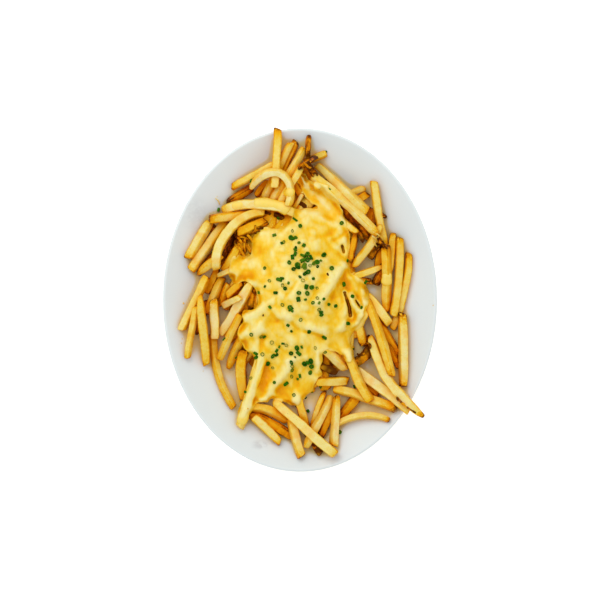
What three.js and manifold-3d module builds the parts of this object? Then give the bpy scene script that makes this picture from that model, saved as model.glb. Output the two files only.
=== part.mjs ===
// Plate of cheese fries: an oval glazed platter, a heap of fried potato strips and a
// blanket of cheese sauce with chopped chives. Millimetres, +Z up. The origin is under the
// middle of the platter's foot, and the platter's long axis lies along Y.
import * as THREE from 'three';
import { mergeVertices } from 'three/addons/utils/BufferGeometryUtils.js';
import Module from 'manifold-3d';

// Platter: a point of its profile is [inset from the edge, height].
const PLATTER_WIDTH = 254;
const PLATTER_LENGTH = 318;
const PLATTER_SEGMENTS = 52;
const RIM_HEIGHT = 24;
const RIM_RUN = 33;
const WELL_FLOOR = 7;
const WELL_BEND = 8;
const LIP_RADIUS = 2;
const WALL = 4.5;
const FOOT_INSET = 42;
const FOOT_WIDTH = 7;
const FOOT_HEIGHT = 2.5;

// Heap: the core is a mound on a rounded-square oval, uneven by a few slow waves.
const CORE_CENTRE = [-7, 8];
const CORE_HALF_WIDTH = 70;
const CORE_HALF_LENGTH = 108;
const CORE_SQUARENESS = 2.4;
const CORE_HEIGHT = 32;
const CORE_EDGE_HEIGHT = 3;
const CORE_PEAK = 1.6;
const CORE_SLOPE = 1.3;
const CORE_WAVE = 1.5;
const CORE_RINGS = 7;
const CORE_SPOKES = 36;

// Strips: what every fry shares. A strip is as thick as it is wide, apart from FRY_FLATNESS.
const FRY_SIDES = 4;
const FRY_CORNER = 0.93;
const FRY_FLATNESS = 0.94;
const FRY_END_SCALE = 0.84;
const FRY_LIMPNESS = 0.6;
const FRY_SINK = 0.34;
const FRY_CARRIED_WIDTH = 0.22;
const FRY_ROLL = 0.3;
const BENT_BOW = 4;
// A bow takes this many times itself from the chord, and the rest is the curve's reach.
const BOW_TAKES = 1.3;
// How a strip is marked on the height map: its steps along and across, and its dropped edge.
const MARK_STEP = 0.9;
const MARK_SIDE_STEP = 0.125;
const MARK_EDGE = 0.4;
const MARK_EDGE_DROP = 1;

// Sauce: its thickness in the middle and at the rounded edge, and the coated strips' ridges.
const SAUCE_THICKNESS = 3.5;
const SAUCE_EDGE_THICKNESS = 1;
const SAUCE_EDGE_RUN = 6;
const SAUCE_CLING = 0.5;
const SAUCE_SINK = 1;
const SAUCE_TOP_CELL = 5.4;
const SAUCE_TOP_REACH = 4.5;
const SAUCE_UNDER_CELL = 11;
const SAUCE_UNDER_REACH = 9;
const SAUCE_OUTLINE_STEPS = 80;
const RIDGE_HEIGHT = 4.5;

// A chive's axis lies above the sauce by CHIVE_LIFT of its radius.
const CHIVE_RADIUS = 1.7;
const CHIVE_LENGTHS = [2.5, 5];
const CHIVE_SIDES = 4;
const CHIVE_LIFT = 0.2;

// Prisms and posts reach from the ground to ABOVE_ALL, over the top of the food.
const ABOVE_ALL = 200;
const POST_WIDTH = 0.2;

const GAP = 0.35;
const HEIGHT_CELL = 1.5;
const MERGE_TOLERANCE = 1e-4;
const DRAW_SEED = 11;
const DRAW_FACTOR = 48271;
const DRAW_RANGE = 2147483647;

// The strips from the lowest to the highest: start x, start y, end x, end y, width and
// bow, which is how far the middle bends to the left of the way from start to end.
const LOWEST_STRIPS = [
  [-30, 111, -41, 96, 6.5, 0],
  [-4, 147, -26, 93, 7.5, 0],
  [-68, 89, -44, 105, 8, 0],
  [25, 135, 4, 128, 6.5, 0],
  [-31, 73, -57, 62, 8, 0],
  [-53, 50, -70, 26, 7, 0],
  [-77, 44, -95, 24, 6, 0],
  [-66, 15, -75, -6, 7.5, 0],
  [-77, 29, -87, 6, 6.5, 0],
  [-88, 0, -95, -32, 6.5, 0],
  [-52, 15, -67, 3, 8, 0],
  [-42, 18, -45, -9, 7, 0],
  [67, 85, 62, 55, 9, 0],
  [76, 50, 72, 28, 8, 0],
  [79, 33, 69, 15, 8.5, 0],
  [51, 19, 67, 17, 6, 0],
  [52, 63, 46, 35, 6.5, 0],
  [72, 52, 64, 40, 8.5, 0],
  [68, -11, 93, -51, 8, 0],
  [81, -39, 92, -64, 6, 0],
  [62, -34, 79, -68, 6.5, 0],
  [53, -17, 59, -43, 8.5, 0],
  [64, -42, 48, -58, 10, 4],
  [57, -75, 73, -89, 7.5, 0],
  [53, -90, 36, -110, 9, 0],
  [-4, -88, 6, -120, 8, 0],
  [33, -95, 19, -127, 7.5, 0],
  [5, -121, 19, -143, 8.5, 0],
  [-48, -105, -5, -127, 8.5, 1],
];
const FAR_END_STRIPS = [
  [-8, 145, -34, 94, 8, 0],
  [-63, 104, -24, 125, 7.5, 0],
  [4, 140, -24, 92, 7.5, 0],
  [3, 126, -20, 88, 6.5, 0],
  [-20, 156, -24, 103, 7.5, 1],
  [8, 152, 7, 129, 5.5, 0],
  [14, 132, -2, 120, 5.5, 0],
];
const LEFT_BANK_STRIPS = [
  [-80, 69, -101, 37, 8.5, 0],
  [-68, 71, -100, 29, 9, 0],
  [-72, 41, -95, 23, 7.5, 0],
  [-86, 22, -110, -28, 9, 0],
  [-96, -6, -105, -54, 7, 0],
  [-72, 21, -86, -13, 7.5, 0],
  [-81, -33, -61, -100, 8, -5],
  [-44, 17, -71, -28, 8.5, 0],
  [-55, 3, -71, -5, 6, 0],
  [-55, -13, -76, -55, 7.5, 0],
  [-92, 5, -87, -60, 7.5, 0],
  [-79, 1, -79, -36, 9, 0],
  [-53, -31, -67, -64, 8.5, 0],
  [-58, 30, -76, 22, 5.5, 0],
  [-52, -46, -52, -92, 9, -3],
  [-84, 74, -44, 81, 8.5, 0],
  [-33, 80, -76, 30, 7.5, -14],
  [-71, 84, -6, 81, 8.5, 7],
  [-45, 102, -11, 86, 8, 24],
];
const RIGHT_BANK_STRIPS = [
  [75, 68, 50, 30, 8, 0],
  [51, 22, 77, 31, 6.5, 0],
  [63, 99, 44, 87, 6.5, 0],
  [60, 104, 40, 96, 6.5, 0],
  [70, 83, 80, 76, 4, 0],
  [68, 110, 79, 50, 7.5, -1],
  [87, 62, 83, 22, 7, 0],
  [78, 50, 79, -11, 8.5, 0],
  [100, 44, 85, -27, 7.5, 4],
  [92, 58, 86, -15, 7.5, 2],
  [63, 6, 82, -22, 7.5, 0],
  [96, -12, 95, -80, 8.5, 0],
  [35, 77, 53, 62, 6.5, 0],
  [16, 125, 62, 81, 8.5, 0],
  [11, 114, 72, 59, 8.5, 2],
];
const NEAR_END_STRIPS = [
  [15, -75, 45, -75, 8.5, 0],
  [31, -118, 83, -111, 7.5, 8],
  [31, -83, 88, -102, 9, 2],
  [53, -65, 100, -100, 8.5, 1],
  [66, -33, 113, -106, 8.5, -9],
  [64, -4, 84, -70, 8.5, 2],
  [43, -46, 65, -94, 9, -2],
  [-43, -108, -18, -132, 7.5, 0],
  [-48, -99, -11, -113, 8.5, 3],
  [22, -84, 12, -120, 6.5, 0],
  [29, -89, 6, -135, 7.5, 1],
  [-9, -111, 2, -145, 8.5, 0],
  [34, -89, 31, -135, 7.5, 0],
  [-22, -96, 33, -142, 8.5, 0],
  [-35, -48, -56, -118, 8.5, 0],
];

// Strips wholly coated in sauce, which show as ridges of it, in the same form.
const COATED_STRIPS = [
  [-7, -57, -38, -95, 8, 0],
  [41, 35, 16, -4, 8.5, 0],
  [-30, 0, -45, -48, 8, 0],
  [-35, -8, -53, -19, 7.5, 0],
  [-33, -27, -57, -34, 6.5, 0],
  [-21, -12, -6, -18, 7.5, 0],
  [0, -25, 28, -30, 8.5, 0],
  [37, -28, 44, 0, 7.5, 0],
  [46, 4, 59, -18, 7.5, 0],
  [22, -47, 43, -64, 9, 0],
];

// The sauce's edge, clockwise from the tip of its arm at the far end.
const SAUCE_EDGE = [
  [-1, 118], [7, 114], [17, 108], [26, 104], [35, 92], [42, 77], [46, 63], [46, 48],
  [44, 39], [53, 23], [64, 9], [64, -3], [58, -18], [50, -29], [47, -40], [51, -53],
  [53, -64], [41, -63], [29, -50], [21, -48], [20, -66], [13, -80], [3, -92], [-9, -99],
  [-23, -94], [-37, -96], [-44, -103], [-52, -110], [-59, -107], [-52, -90], [-42, -66],
  [-42, -53], [-50, -46], [-58, -32], [-53, -20], [-52, -10], [-40, -7], [-41, 9],
  [-50, 17], [-61, 15], [-66, 26], [-61, 41], [-46, 41], [-45, 55], [-40, 63], [-26, 67],
  [-15, 72], [-9, 82], [4, 85], [16, 86], [10, 91], [2, 98], [-2, 109],
];

const CHIVE_SPOTS = [
  [0, 67], [-15, 53], [-6, 55], [4, 49], [-4, 48], [3, 41], [9, 40], [-2, 31], [5, 32],
  [16, 33], [21, 42], [5, 24], [12, 19], [31, 31], [41, 15], [48, 4], [43, -21], [-32, 30],
  [-31, 12], [-18, 18], [-10, 17], [-22, 6], [6, 12], [16, 11], [-2, 0], [6, 0], [12, -3],
  [18, 1], [27, -5], [33, -6], [-16, -4], [-28, -6], [-8, -8], [19, -11], [1, -18],
  [-11, -23], [8, -28], [23, -33], [-44, -31], [-33, -33], [-26, -39], [-12, -41],
  [-21, -48], [0, -51], [14, -44], [-29, -57], [-9, -59], [5, -58], [11, -62], [-8, -73],
  [-23, -76], [-6, -88],
];

const HALF_WIDTH = PLATTER_WIDTH / 2;
const HALF_LENGTH = PLATTER_LENGTH / 2;
const UP = new THREE.Vector3(0, 0, 1);

const wasm = await Module();
wasm.setup();

// A seeded draw between two limits, the same on every run.
function makeDraw(seed) {
  let state = seed;
  return (low, high) => {
    state = (state * DRAW_FACTOR) % DRAW_RANGE;
    return low + (high - low) * (state / DRAW_RANGE);
  };
}

function toSolid(geometry) {
  const bare = geometry.clone();
  bare.deleteAttribute('normal');
  bare.deleteAttribute('uv');
  const merged = mergeVertices(bare, MERGE_TOLERANCE);
  const corners = merged.index.array;
  const triangles = [];
  for (let i = 0; i < corners.length; i += 3) {
    const [a, b, c] = [corners[i], corners[i + 1], corners[i + 2]];
    if (a !== b && b !== c && c !== a) {
      triangles.push(a, b, c);
    }
  }
  return new wasm.Manifold(new wasm.Mesh({
    numProp: 3,
    vertProperties: new Float32Array(merged.attributes.position.array),
    triVerts: new Uint32Array(triangles),
  }));
}

function toGeometry(solid) {
  const mesh = solid.getMesh();
  const geometry = new THREE.BufferGeometry();
  geometry.setAttribute('position', new THREE.BufferAttribute(mesh.vertProperties, 3));
  geometry.setIndex(new THREE.BufferAttribute(mesh.triVerts, 1));
  geometry.computeVertexNormals();
  return geometry;
}

function unite(solids) {
  return solids.reduce((whole, solid) => whole.add(solid));
}

// The largest outer shell alone, so that loose scraps and sealed hollows are dropped.
function largestShell(solid) {
  const shells = solid.decompose();
  return shells.reduce((best, shell) => (shell.volume() > best.volume() ? shell : best));
}

// ---- Platter ----

const TOP_PROFILE = [
  [RIM_RUN + WELL_BEND, WELL_FLOOR],
  [RIM_RUN + WELL_BEND * 0.4, WELL_FLOOR + 0.8],
  [RIM_RUN - WELL_BEND * 0.3, WELL_FLOOR + 3.4],
  [RIM_RUN * 0.45, RIM_HEIGHT - 6.4],
  [LIP_RADIUS * 2, RIM_HEIGHT - 0.9],
  [LIP_RADIUS, RIM_HEIGHT],
];

const LIP_PROFILE = [
  [LIP_RADIUS * 0.4, RIM_HEIGHT - LIP_RADIUS * 0.4],
  [0, RIM_HEIGHT - LIP_RADIUS],
  [LIP_RADIUS * 0.4, RIM_HEIGHT - LIP_RADIUS * 1.6],
];

const UNDER_PROFILE = [
  [RIM_RUN * 0.45, RIM_HEIGHT - 6.4 - WALL],
  [RIM_RUN, WELL_FLOOR + 2 - WALL * 0.8],
  [FOOT_INSET - 1.5, FOOT_HEIGHT],
  [FOOT_INSET, 0],
  [FOOT_INSET + FOOT_WIDTH, 0],
  [FOOT_INSET + FOOT_WIDTH + 1.5, FOOT_HEIGHT],
];

// A turned profile, stretched into an oval whose insets are even on both axes.
function platterGeometry() {
  const outline = [...TOP_PROFILE, ...LIP_PROFILE, ...UNDER_PROFILE];
  const points = outline.map(([inset, height]) => new THREE.Vector2(HALF_WIDTH - inset, height));
  points.unshift(new THREE.Vector2(0, WELL_FLOOR));
  points.push(new THREE.Vector2(0, FOOT_HEIGHT));
  points.reverse();
  const geometry = new THREE.LatheGeometry(points, PLATTER_SEGMENTS);
  geometry.rotateX(Math.PI / 2);
  const position = geometry.attributes.position;
  const flatRadius = HALF_WIDTH - FOOT_INSET - FOOT_WIDTH - 2;
  for (let i = 0; i < position.count; i += 1) {
    const radius = Math.hypot(position.getX(i), position.getY(i));
    const stretch = (HALF_LENGTH - HALF_WIDTH) * Math.min(1, radius / flatRadius);
    const direction = radius > 0 ? position.getY(i) / radius : 0;
    position.setY(i, direction * (radius + stretch));
  }
  return geometry;
}

// How far inside the platter's edge a point lies, with the insets even on both axes.
function platterInset(x, y) {
  let low = 0;
  let high = HALF_WIDTH - 1;
  for (let step = 0; step < 24; step += 1) {
    const inset = (low + high) / 2;
    const reach = (x / (HALF_WIDTH - inset)) ** 2 + (y / (HALF_LENGTH - inset)) ** 2;
    if (reach < 1) {
      low = inset;
    } else {
      high = inset;
    }
  }
  return low;
}

function isPastEdge(x, y) {
  return (x / HALF_WIDTH) ** 2 + (y / HALF_LENGTH) ** 2 >= 1;
}

function platterTop(x, y) {
  if (isPastEdge(x, y)) {
    return 0;
  }
  const inset = platterInset(x, y);
  for (let i = 1; i < TOP_PROFILE.length; i += 1) {
    const [innerInset, innerHeight] = TOP_PROFILE[i - 1];
    const [outerInset, outerHeight] = TOP_PROFILE[i];
    if (inset > outerInset) {
      const share = Math.min(1, (innerInset - inset) / (innerInset - outerInset));
      return innerHeight + Math.max(0, share) * (outerHeight - innerHeight);
    }
  }
  return RIM_HEIGHT;
}

// ---- Heap core ----

// 0 in the middle of the core and 1 at its edge.
function coreReach(x, y) {
  const across = Math.abs((x - CORE_CENTRE[0]) / CORE_HALF_WIDTH) ** CORE_SQUARENESS;
  const along = Math.abs((y - CORE_CENTRE[1]) / CORE_HALF_LENGTH) ** CORE_SQUARENESS;
  return (across + along) ** (1 / CORE_SQUARENESS);
}

function coreTop(x, y) {
  const reach = Math.min(1, coreReach(x, y));
  const mound = CORE_HEIGHT * (1 - reach ** CORE_PEAK) ** CORE_SLOPE;
  const waves = CORE_WAVE * (1 - reach) * (Math.sin(x / 11) + Math.cos(y / 14 + x / 30));
  return platterTop(x, y) + CORE_EDGE_HEIGHT + mound + waves;
}

// A sheet of rings and spokes with its two faces alike, closed round the edge.
function coreGeometry() {
  const positions = [];
  const corners = [];
  const at = (side, ring, spoke) => (
    ring === 0 ? side : 2 + side * CORE_RINGS * CORE_SPOKES + (ring - 1) * CORE_SPOKES
      + (spoke % CORE_SPOKES)
  );
  const [middleX, middleY] = CORE_CENTRE;
  positions.push(middleX, middleY, coreTop(middleX, middleY));
  positions.push(middleX, middleY, platterTop(middleX, middleY) + GAP);
  for (const heightAt of [coreTop, (x, y) => platterTop(x, y) + GAP]) {
    for (let ring = 1; ring <= CORE_RINGS; ring += 1) {
      for (let spoke = 0; spoke < CORE_SPOKES; spoke += 1) {
        const angle = (2 * Math.PI * spoke) / CORE_SPOKES;
        const reach = coreReach(middleX + Math.cos(angle), middleY + Math.sin(angle));
        const radius = ring / CORE_RINGS / reach;
        const x = middleX + radius * Math.cos(angle);
        const y = middleY + radius * Math.sin(angle);
        positions.push(x, y, heightAt(x, y));
      }
    }
  }
  for (let spoke = 0; spoke < CORE_SPOKES; spoke += 1) {
    const next = spoke + 1;
    corners.push(0, at(0, 1, spoke), at(0, 1, next));
    corners.push(1, at(1, 1, next), at(1, 1, spoke));
    for (let ring = 1; ring < CORE_RINGS; ring += 1) {
      const [a, b] = [at(0, ring, spoke), at(0, ring, next)];
      const [c, d] = [at(0, ring + 1, next), at(0, ring + 1, spoke)];
      corners.push(a, d, c, a, c, b);
      const [e, f] = [at(1, ring, spoke), at(1, ring, next)];
      const [g, h] = [at(1, ring + 1, next), at(1, ring + 1, spoke)];
      corners.push(e, g, h, e, f, g);
    }
    const [a, b] = [at(0, CORE_RINGS, spoke), at(0, CORE_RINGS, next)];
    const [c, d] = [at(1, CORE_RINGS, next), at(1, CORE_RINGS, spoke)];
    corners.push(a, d, c, a, c, b);
  }
  return sheetGeometry(positions, corners);
}

function sheetGeometry(positions, corners) {
  const geometry = new THREE.BufferGeometry();
  geometry.setAttribute('position', new THREE.Float32BufferAttribute(positions, 3));
  geometry.setIndex(corners);
  return geometry;
}

// ---- Height map: the top of the platter and of the food laid on it so far ----

const MAP_COLUMNS = Math.ceil(PLATTER_WIDTH / HEIGHT_CELL) + 1;
const MAP_ROWS = Math.ceil(PLATTER_LENGTH / HEIGHT_CELL) + 1;

function mapIndex(x, y) {
  const column = Math.round((x + HALF_WIDTH) / HEIGHT_CELL);
  const row = Math.round((y + HALF_LENGTH) / HEIGHT_CELL);
  if (column < 0 || row < 0 || column >= MAP_COLUMNS || row >= MAP_ROWS) {
    return -1;
  }
  return row * MAP_COLUMNS + column;
}

function makeHeightMap(heightAt) {
  const heights = new Float32Array(MAP_COLUMNS * MAP_ROWS);
  for (let row = 0; row < MAP_ROWS; row += 1) {
    for (let column = 0; column < MAP_COLUMNS; column += 1) {
      const x = column * HEIGHT_CELL - HALF_WIDTH;
      const y = row * HEIGHT_CELL - HALF_LENGTH;
      heights[row * MAP_COLUMNS + column] = heightAt(x, y);
    }
  }
  return heights;
}

function heightAtPoint(heights, x, y) {
  const index = mapIndex(x, y);
  return index < 0 ? 0 : heights[index];
}

// ---- Strips ----

function planCurve([startX, startY, endX, endY, , bow]) {
  const start = new THREE.Vector2(startX, startY);
  const end = new THREE.Vector2(endX, endY);
  const direction = end.clone().sub(start).normalize();
  const left = new THREE.Vector2(-direction.y, direction.x);
  const chord = start.distanceTo(end);
  const reach = Math.max(0, chord - BOW_TAKES * Math.abs(bow)) / 3;
  const controls = [
    start.clone().addScaledVector(direction, reach).addScaledVector(left, (bow * 4) / 3),
    end.clone().addScaledVector(direction, -reach).addScaledVector(left, (bow * 4) / 3),
  ];
  return new THREE.CubicBezierCurve(start, ...controls, end);
}

function leftOf(curve, share) {
  const direction = curve.getTangentAt(share);
  return new THREE.Vector2(-direction.y, direction.x);
}

// The height that carries a strip at each step of its way over the platter.
function supportAlong(curve, width, ground, food) {
  const length = curve.getLength();
  const steps = Math.max(4, Math.round(length / HEIGHT_CELL));
  const support = [];
  for (let step = 0; step <= steps; step += 1) {
    const share = step / steps;
    const middle = curve.getPointAt(share);
    const left = leftOf(curve, share);
    if (isPastEdge(middle.x, middle.y)) {
      continue;
    }
    let height = 0;
    for (const side of [-FRY_CARRIED_WIDTH, 0, FRY_CARRIED_WIDTH]) {
      const x = middle.x + left.x * side * width;
      const y = middle.y + left.y * side * width;
      const firm = heightAtPoint(ground, x, y) + GAP;
      const soft = heightAtPoint(food, x, y) - FRY_SINK * width;
      height = Math.max(height, firm, soft);
    }
    support.push([share * length, height]);
  }
  return support;
}

// The points of a profile that a taut string laid over it would touch.
function tautString(profile) {
  const touched = [];
  for (const point of profile) {
    while (touched.length > 1) {
      const [before, last] = touched.slice(-2);
      const rise = (last[1] - before[1]) * (point[0] - before[0]);
      const needed = (point[1] - before[1]) * (last[0] - before[0]);
      if (rise > needed) {
        break;
      }
      touched.pop();
    }
    touched.push(point);
  }
  return touched;
}

function heightOn([before, after], along) {
  const slope = (after[1] - before[1]) / (after[0] - before[0]);
  return before[1] + slope * (along - before[0]);
}

// The underside of a strip that rests on two points round its middle and droops a little.
function restingUnderside(profile, length) {
  const touched = tautString(profile);
  const last = touched.length - 1;
  const spanAt = (along) => {
    const next = touched.findIndex((point) => point[0] >= along);
    const end = next < 0 ? last : Math.max(1, next);
    return [touched[end - 1], touched[end]];
  };
  const middleSpan = spanAt(length / 2);
  return (along) => {
    const stiff = heightOn(middleSpan, along);
    const limp = heightOn(spanAt(along), along);
    return stiff + (limp - stiff) * FRY_LIMPNESS;
  };
}

function layStrip(row, ground, food) {
  const curve = planCurve(row);
  const width = row[4];
  const length = curve.getLength();
  const underside = restingUnderside(supportAlong(curve, width, ground, food), length);
  const thickness = width * FRY_FLATNESS;
  const steps = Math.ceil(length / MARK_STEP);
  for (let step = 0; step <= steps; step += 1) {
    const share = step / steps;
    const middle = curve.getPointAt(share);
    const left = leftOf(curve, share);
    for (let side = -0.5; side <= 0.5; side += MARK_SIDE_STEP) {
      const index = mapIndex(middle.x + left.x * side * width, middle.y + left.y * side * width);
      const rounding = Math.abs(side) > MARK_EDGE ? MARK_EDGE_DROP : 0;
      if (index >= 0) {
        food[index] = Math.max(food[index], underside(share * length) + thickness - rounding);
      }
    }
  }
  return { curve, width, thickness, length, underside, bow: row[5] };
}

// A square stick, swept along its way and slimmer at both ends.
function stripGeometry(strip, roll) {
  const segments = Math.abs(strip.bow) >= BENT_BOW ? 5 : 2;
  const corner = FRY_CORNER * Math.SQRT2;
  const geometry = new THREE.CylinderGeometry(
    corner, corner, 1, FRY_SIDES, segments, false, Math.PI / FRY_SIDES,
  );
  const position = geometry.attributes.position;
  for (let i = 0; i < position.count; i += 1) {
    const share = position.getY(i) + 0.5;
    const middle = strip.curve.getPointAt(share);
    const heading = strip.curve.getTangentAt(share);
    const before = strip.underside(Math.max(0, share - 0.1) * strip.length);
    const after = strip.underside(Math.min(1, share + 0.1) * strip.length);
    const forward = new THREE.Vector3(heading.x, heading.y, (after - before) / strip.length / 0.2);
    forward.normalize();
    const right = new THREE.Vector3().crossVectors(forward, UP).normalize();
    const above = new THREE.Vector3().crossVectors(right, forward);
    const taper = share < 0.01 || share > 0.99 ? FRY_END_SCALE : 1;
    const across = position.getX(i) * taper;
    const upward = position.getZ(i) * taper;
    const turnedAcross = across * Math.cos(roll) - upward * Math.sin(roll);
    const turnedUpward = across * Math.sin(roll) + upward * Math.cos(roll);
    const height = strip.underside(share * strip.length) + strip.thickness / 2;
    const point = new THREE.Vector3(middle.x, middle.y, height);
    point.addScaledVector(right, (turnedAcross * strip.width) / 2);
    point.addScaledVector(above, (turnedUpward * strip.thickness) / 2);
    position.setXYZ(i, point.x, point.y, point.z);
  }
  return geometry;
}

// ---- Sauce ----

function sauceOutline() {
  const corners = SAUCE_EDGE.map(([x, y]) => new THREE.Vector3(x, y, 0));
  const curve = new THREE.CatmullRomCurve3(corners, true, 'centripetal');
  return curve.getSpacedPoints(SAUCE_OUTLINE_STEPS).slice(0, -1);
}

function distanceToSegment(x, y, start, end) {
  const [runX, runY] = [end.x - start.x, end.y - start.y];
  const along = ((x - start.x) * runX + (y - start.y) * runY) / (runX ** 2 + runY ** 2);
  const share = Math.min(1, Math.max(0, along));
  return Math.hypot(x - start.x - share * runX, y - start.y - share * runY);
}

function distanceToOutline(x, y, outline) {
  let nearest = Infinity;
  for (let i = 0; i < outline.length; i += 1) {
    const next = outline[(i + 1) % outline.length];
    nearest = Math.min(nearest, distanceToSegment(x, y, outline[i], next));
  }
  return nearest;
}

function ridgeHeight(x, y) {
  let height = 0;
  for (const [startX, startY, endX, endY, width] of COATED_STRIPS) {
    const start = new THREE.Vector2(startX, startY);
    const end = new THREE.Vector2(endX, endY);
    const share = distanceToSegment(x, y, start, end) / width;
    height = Math.max(height, RIDGE_HEIGHT * Math.max(0, 1 - share ** 2));
  }
  return height;
}

// A height between the mean and the highest of what lies within reach of a point.
function heightNear(heights, x, y, reach, cling) {
  let highest = 0;
  let sum = 0;
  let count = 0;
  for (let stepX = -reach; stepX <= reach; stepX += HEIGHT_CELL) {
    for (let stepY = -reach; stepY <= reach; stepY += HEIGHT_CELL) {
      const height = heightAtPoint(heights, x + stepX, y + stepY);
      highest = Math.max(highest, height);
      sum += height;
      count += 1;
    }
  }
  const mean = sum / count;
  return mean + (highest - mean) * cling;
}

// A block whose top follows a height over a square grid round the outline.
function blockUnder(heightAt, outline, cell) {
  const box = new THREE.Box3().setFromPoints(outline).expandByScalar(2);
  const columns = Math.ceil((box.max.x - box.min.x) / cell);
  const rows = Math.ceil((box.max.y - box.min.y) / cell);
  const positions = [];
  for (const surface of [heightAt, () => 0]) {
    for (let row = 0; row <= rows; row += 1) {
      for (let column = 0; column <= columns; column += 1) {
        const x = box.min.x + column * cell;
        const y = box.min.y + row * cell;
        positions.push(x, y, surface(x, y));
      }
    }
  }
  const stride = columns + 1;
  const sheetSize = stride * (rows + 1);
  const corners = [];
  for (let row = 0; row < rows; row += 1) {
    for (let column = 0; column < columns; column += 1) {
      const a = row * stride + column;
      const [b, c, d] = [a + 1, a + stride + 1, a + stride];
      const halves = (row + column) % 2 ? [a, b, c, a, c, d] : [a, b, d, b, c, d];
      corners.push(...halves);
      corners.push(...halves.map((corner) => sheetSize + corner).reverse());
    }
  }
  const wall = (a, b) => corners.push(a, sheetSize + a, sheetSize + b, a, sheetSize + b, b);
  for (let column = 0; column < columns; column += 1) {
    wall(column, column + 1);
    wall(rows * stride + column + 1, rows * stride + column);
  }
  for (let row = 0; row < rows; row += 1) {
    wall(row * stride + columns, (row + 1) * stride + columns);
    wall((row + 1) * stride, row * stride);
  }
  return toSolid(sheetGeometry(positions, corners));
}

function outlinePrism(outline) {
  const shape = new THREE.Shape(outline.map((point) => new THREE.Vector2(point.x, point.y)));
  return toSolid(new THREE.ExtrudeGeometry(shape, { depth: ABOVE_ALL, bevelEnabled: false }));
}

function chiveSolid(x, y, surface, draw) {
  const length = draw(...CHIVE_LENGTHS);
  const geometry = new THREE.CylinderGeometry(CHIVE_RADIUS, CHIVE_RADIUS, length, CHIVE_SIDES);
  geometry.rotateZ(draw(0, Math.PI));
  geometry.translate(x, y, surface + CHIVE_RADIUS * CHIVE_LIFT);
  return toSolid(geometry);
}

// The height of a solid's top at a point, met by a thin post cut off by the solid.
function topOfSolid(solid, x, y) {
  const post = new THREE.BoxGeometry(POST_WIDTH, POST_WIDTH, ABOVE_ALL);
  post.translate(x, y, ABOVE_ALL / 2);
  const core = solid.intersect(toSolid(post));
  return core.isEmpty() ? null : core.boundingBox().max[2];
}

function sauceTop(food, outline) {
  return (x, y) => {
    const inside = Math.min(1, distanceToOutline(x, y, outline) / SAUCE_EDGE_RUN);
    const swell = Math.sqrt(1 - (1 - inside) ** 2);
    const swollen = SAUCE_THICKNESS - SAUCE_EDGE_THICKNESS + ridgeHeight(x, y);
    const surface = heightNear(food, x, y, SAUCE_TOP_REACH, SAUCE_CLING);
    return surface + SAUCE_EDGE_THICKNESS + swollen * swell;
  };
}

function sauceUnder(food) {
  return (x, y) => heightNear(food, x, y, SAUCE_UNDER_REACH, 0) - SAUCE_SINK;
}

function sauceSolid(food, outline, draw) {
  const under = blockUnder(sauceUnder(food), outline, SAUCE_UNDER_CELL);
  const top = blockUnder(sauceTop(food, outline), outline, SAUCE_TOP_CELL);
  const blanket = largestShell(outlinePrism(outline).intersect(top).subtract(under));
  const chives = [];
  for (const [x, y] of CHIVE_SPOTS) {
    const surface = topOfSolid(blanket, x, y);
    if (surface !== null) {
      chives.push(chiveSolid(x, y, surface, draw));
    }
  }
  return largestShell(unite([blanket, ...chives]));
}

// All that lies over the sauce's underside, with a gap round it, which the heap leaves free.
function sauceRoom(food, outline) {
  const room = outline.map((point, i) => {
    const before = outline[(i + outline.length - 1) % outline.length];
    const after = outline[(i + 1) % outline.length];
    const along = after.clone().sub(before).normalize();
    return new THREE.Vector3(point.x - along.y * GAP, point.y + along.x * GAP, 0);
  });
  const under = blockUnder(sauceUnder(food), outline, SAUCE_UNDER_CELL);
  return outlinePrism(room).subtract(under.translate([0, 0, -GAP]));
}

// ---- Assembly ----

function heapSolid(strips, draw) {
  const solids = strips.map((strip) => toSolid(stripGeometry(strip, draw(-FRY_ROLL, FRY_ROLL))));
  return unite([toSolid(coreGeometry()), ...solids]);
}

function namedMesh(name, geometry, color, roughness) {
  const material = new THREE.MeshStandardMaterial({ color, roughness, metalness: 0 });
  const mesh = new THREE.Mesh(geometry, material);
  mesh.name = name;
  return mesh;
}

const draw = makeDraw(DRAW_SEED);
const ground = makeHeightMap(platterTop);
const food = makeHeightMap((x, y) => (coreReach(x, y) < 1 ? coreTop(x, y) : platterTop(x, y)));
const rows = [
  ...LOWEST_STRIPS, ...FAR_END_STRIPS, ...LEFT_BANK_STRIPS, ...RIGHT_BANK_STRIPS,
  ...NEAR_END_STRIPS,
];
const strips = rows.map((row) => layStrip(row, ground, food));

const platter = toSolid(platterGeometry());
const outline = sauceOutline();
const sauce = sauceSolid(food, outline, draw);
const heap = largestShell(
  heapSolid(strips, draw)
    .subtract(platter.translate([0, 0, GAP]))
    .subtract(sauceRoom(food, outline)),
);

const plateOfFries = new THREE.Group();
plateOfFries.add(namedMesh('plate', toGeometry(platter), 0xe8ebe8, 0.2));
plateOfFries.add(namedMesh('fries', toGeometry(heap), 0xe5b84a, 0.6));
plateOfFries.add(namedMesh('cheese_sauce', toGeometry(sauce), 0xf8d664, 0.3));

export default plateOfFries;
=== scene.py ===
"""Plate of cheese fries: the finish of the platter, the fries, the sauce and the chives.

The layout is in millimetres, as in the part's own source, and becomes metres where a mesh
is made. Fries are laid one by one on a height map, from the lowest to the highest.
"""
import math
import random

import bpy
import numpy as np
from mathutils import Matrix, Vector
from mathutils.bvhtree import BVHTree


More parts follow.
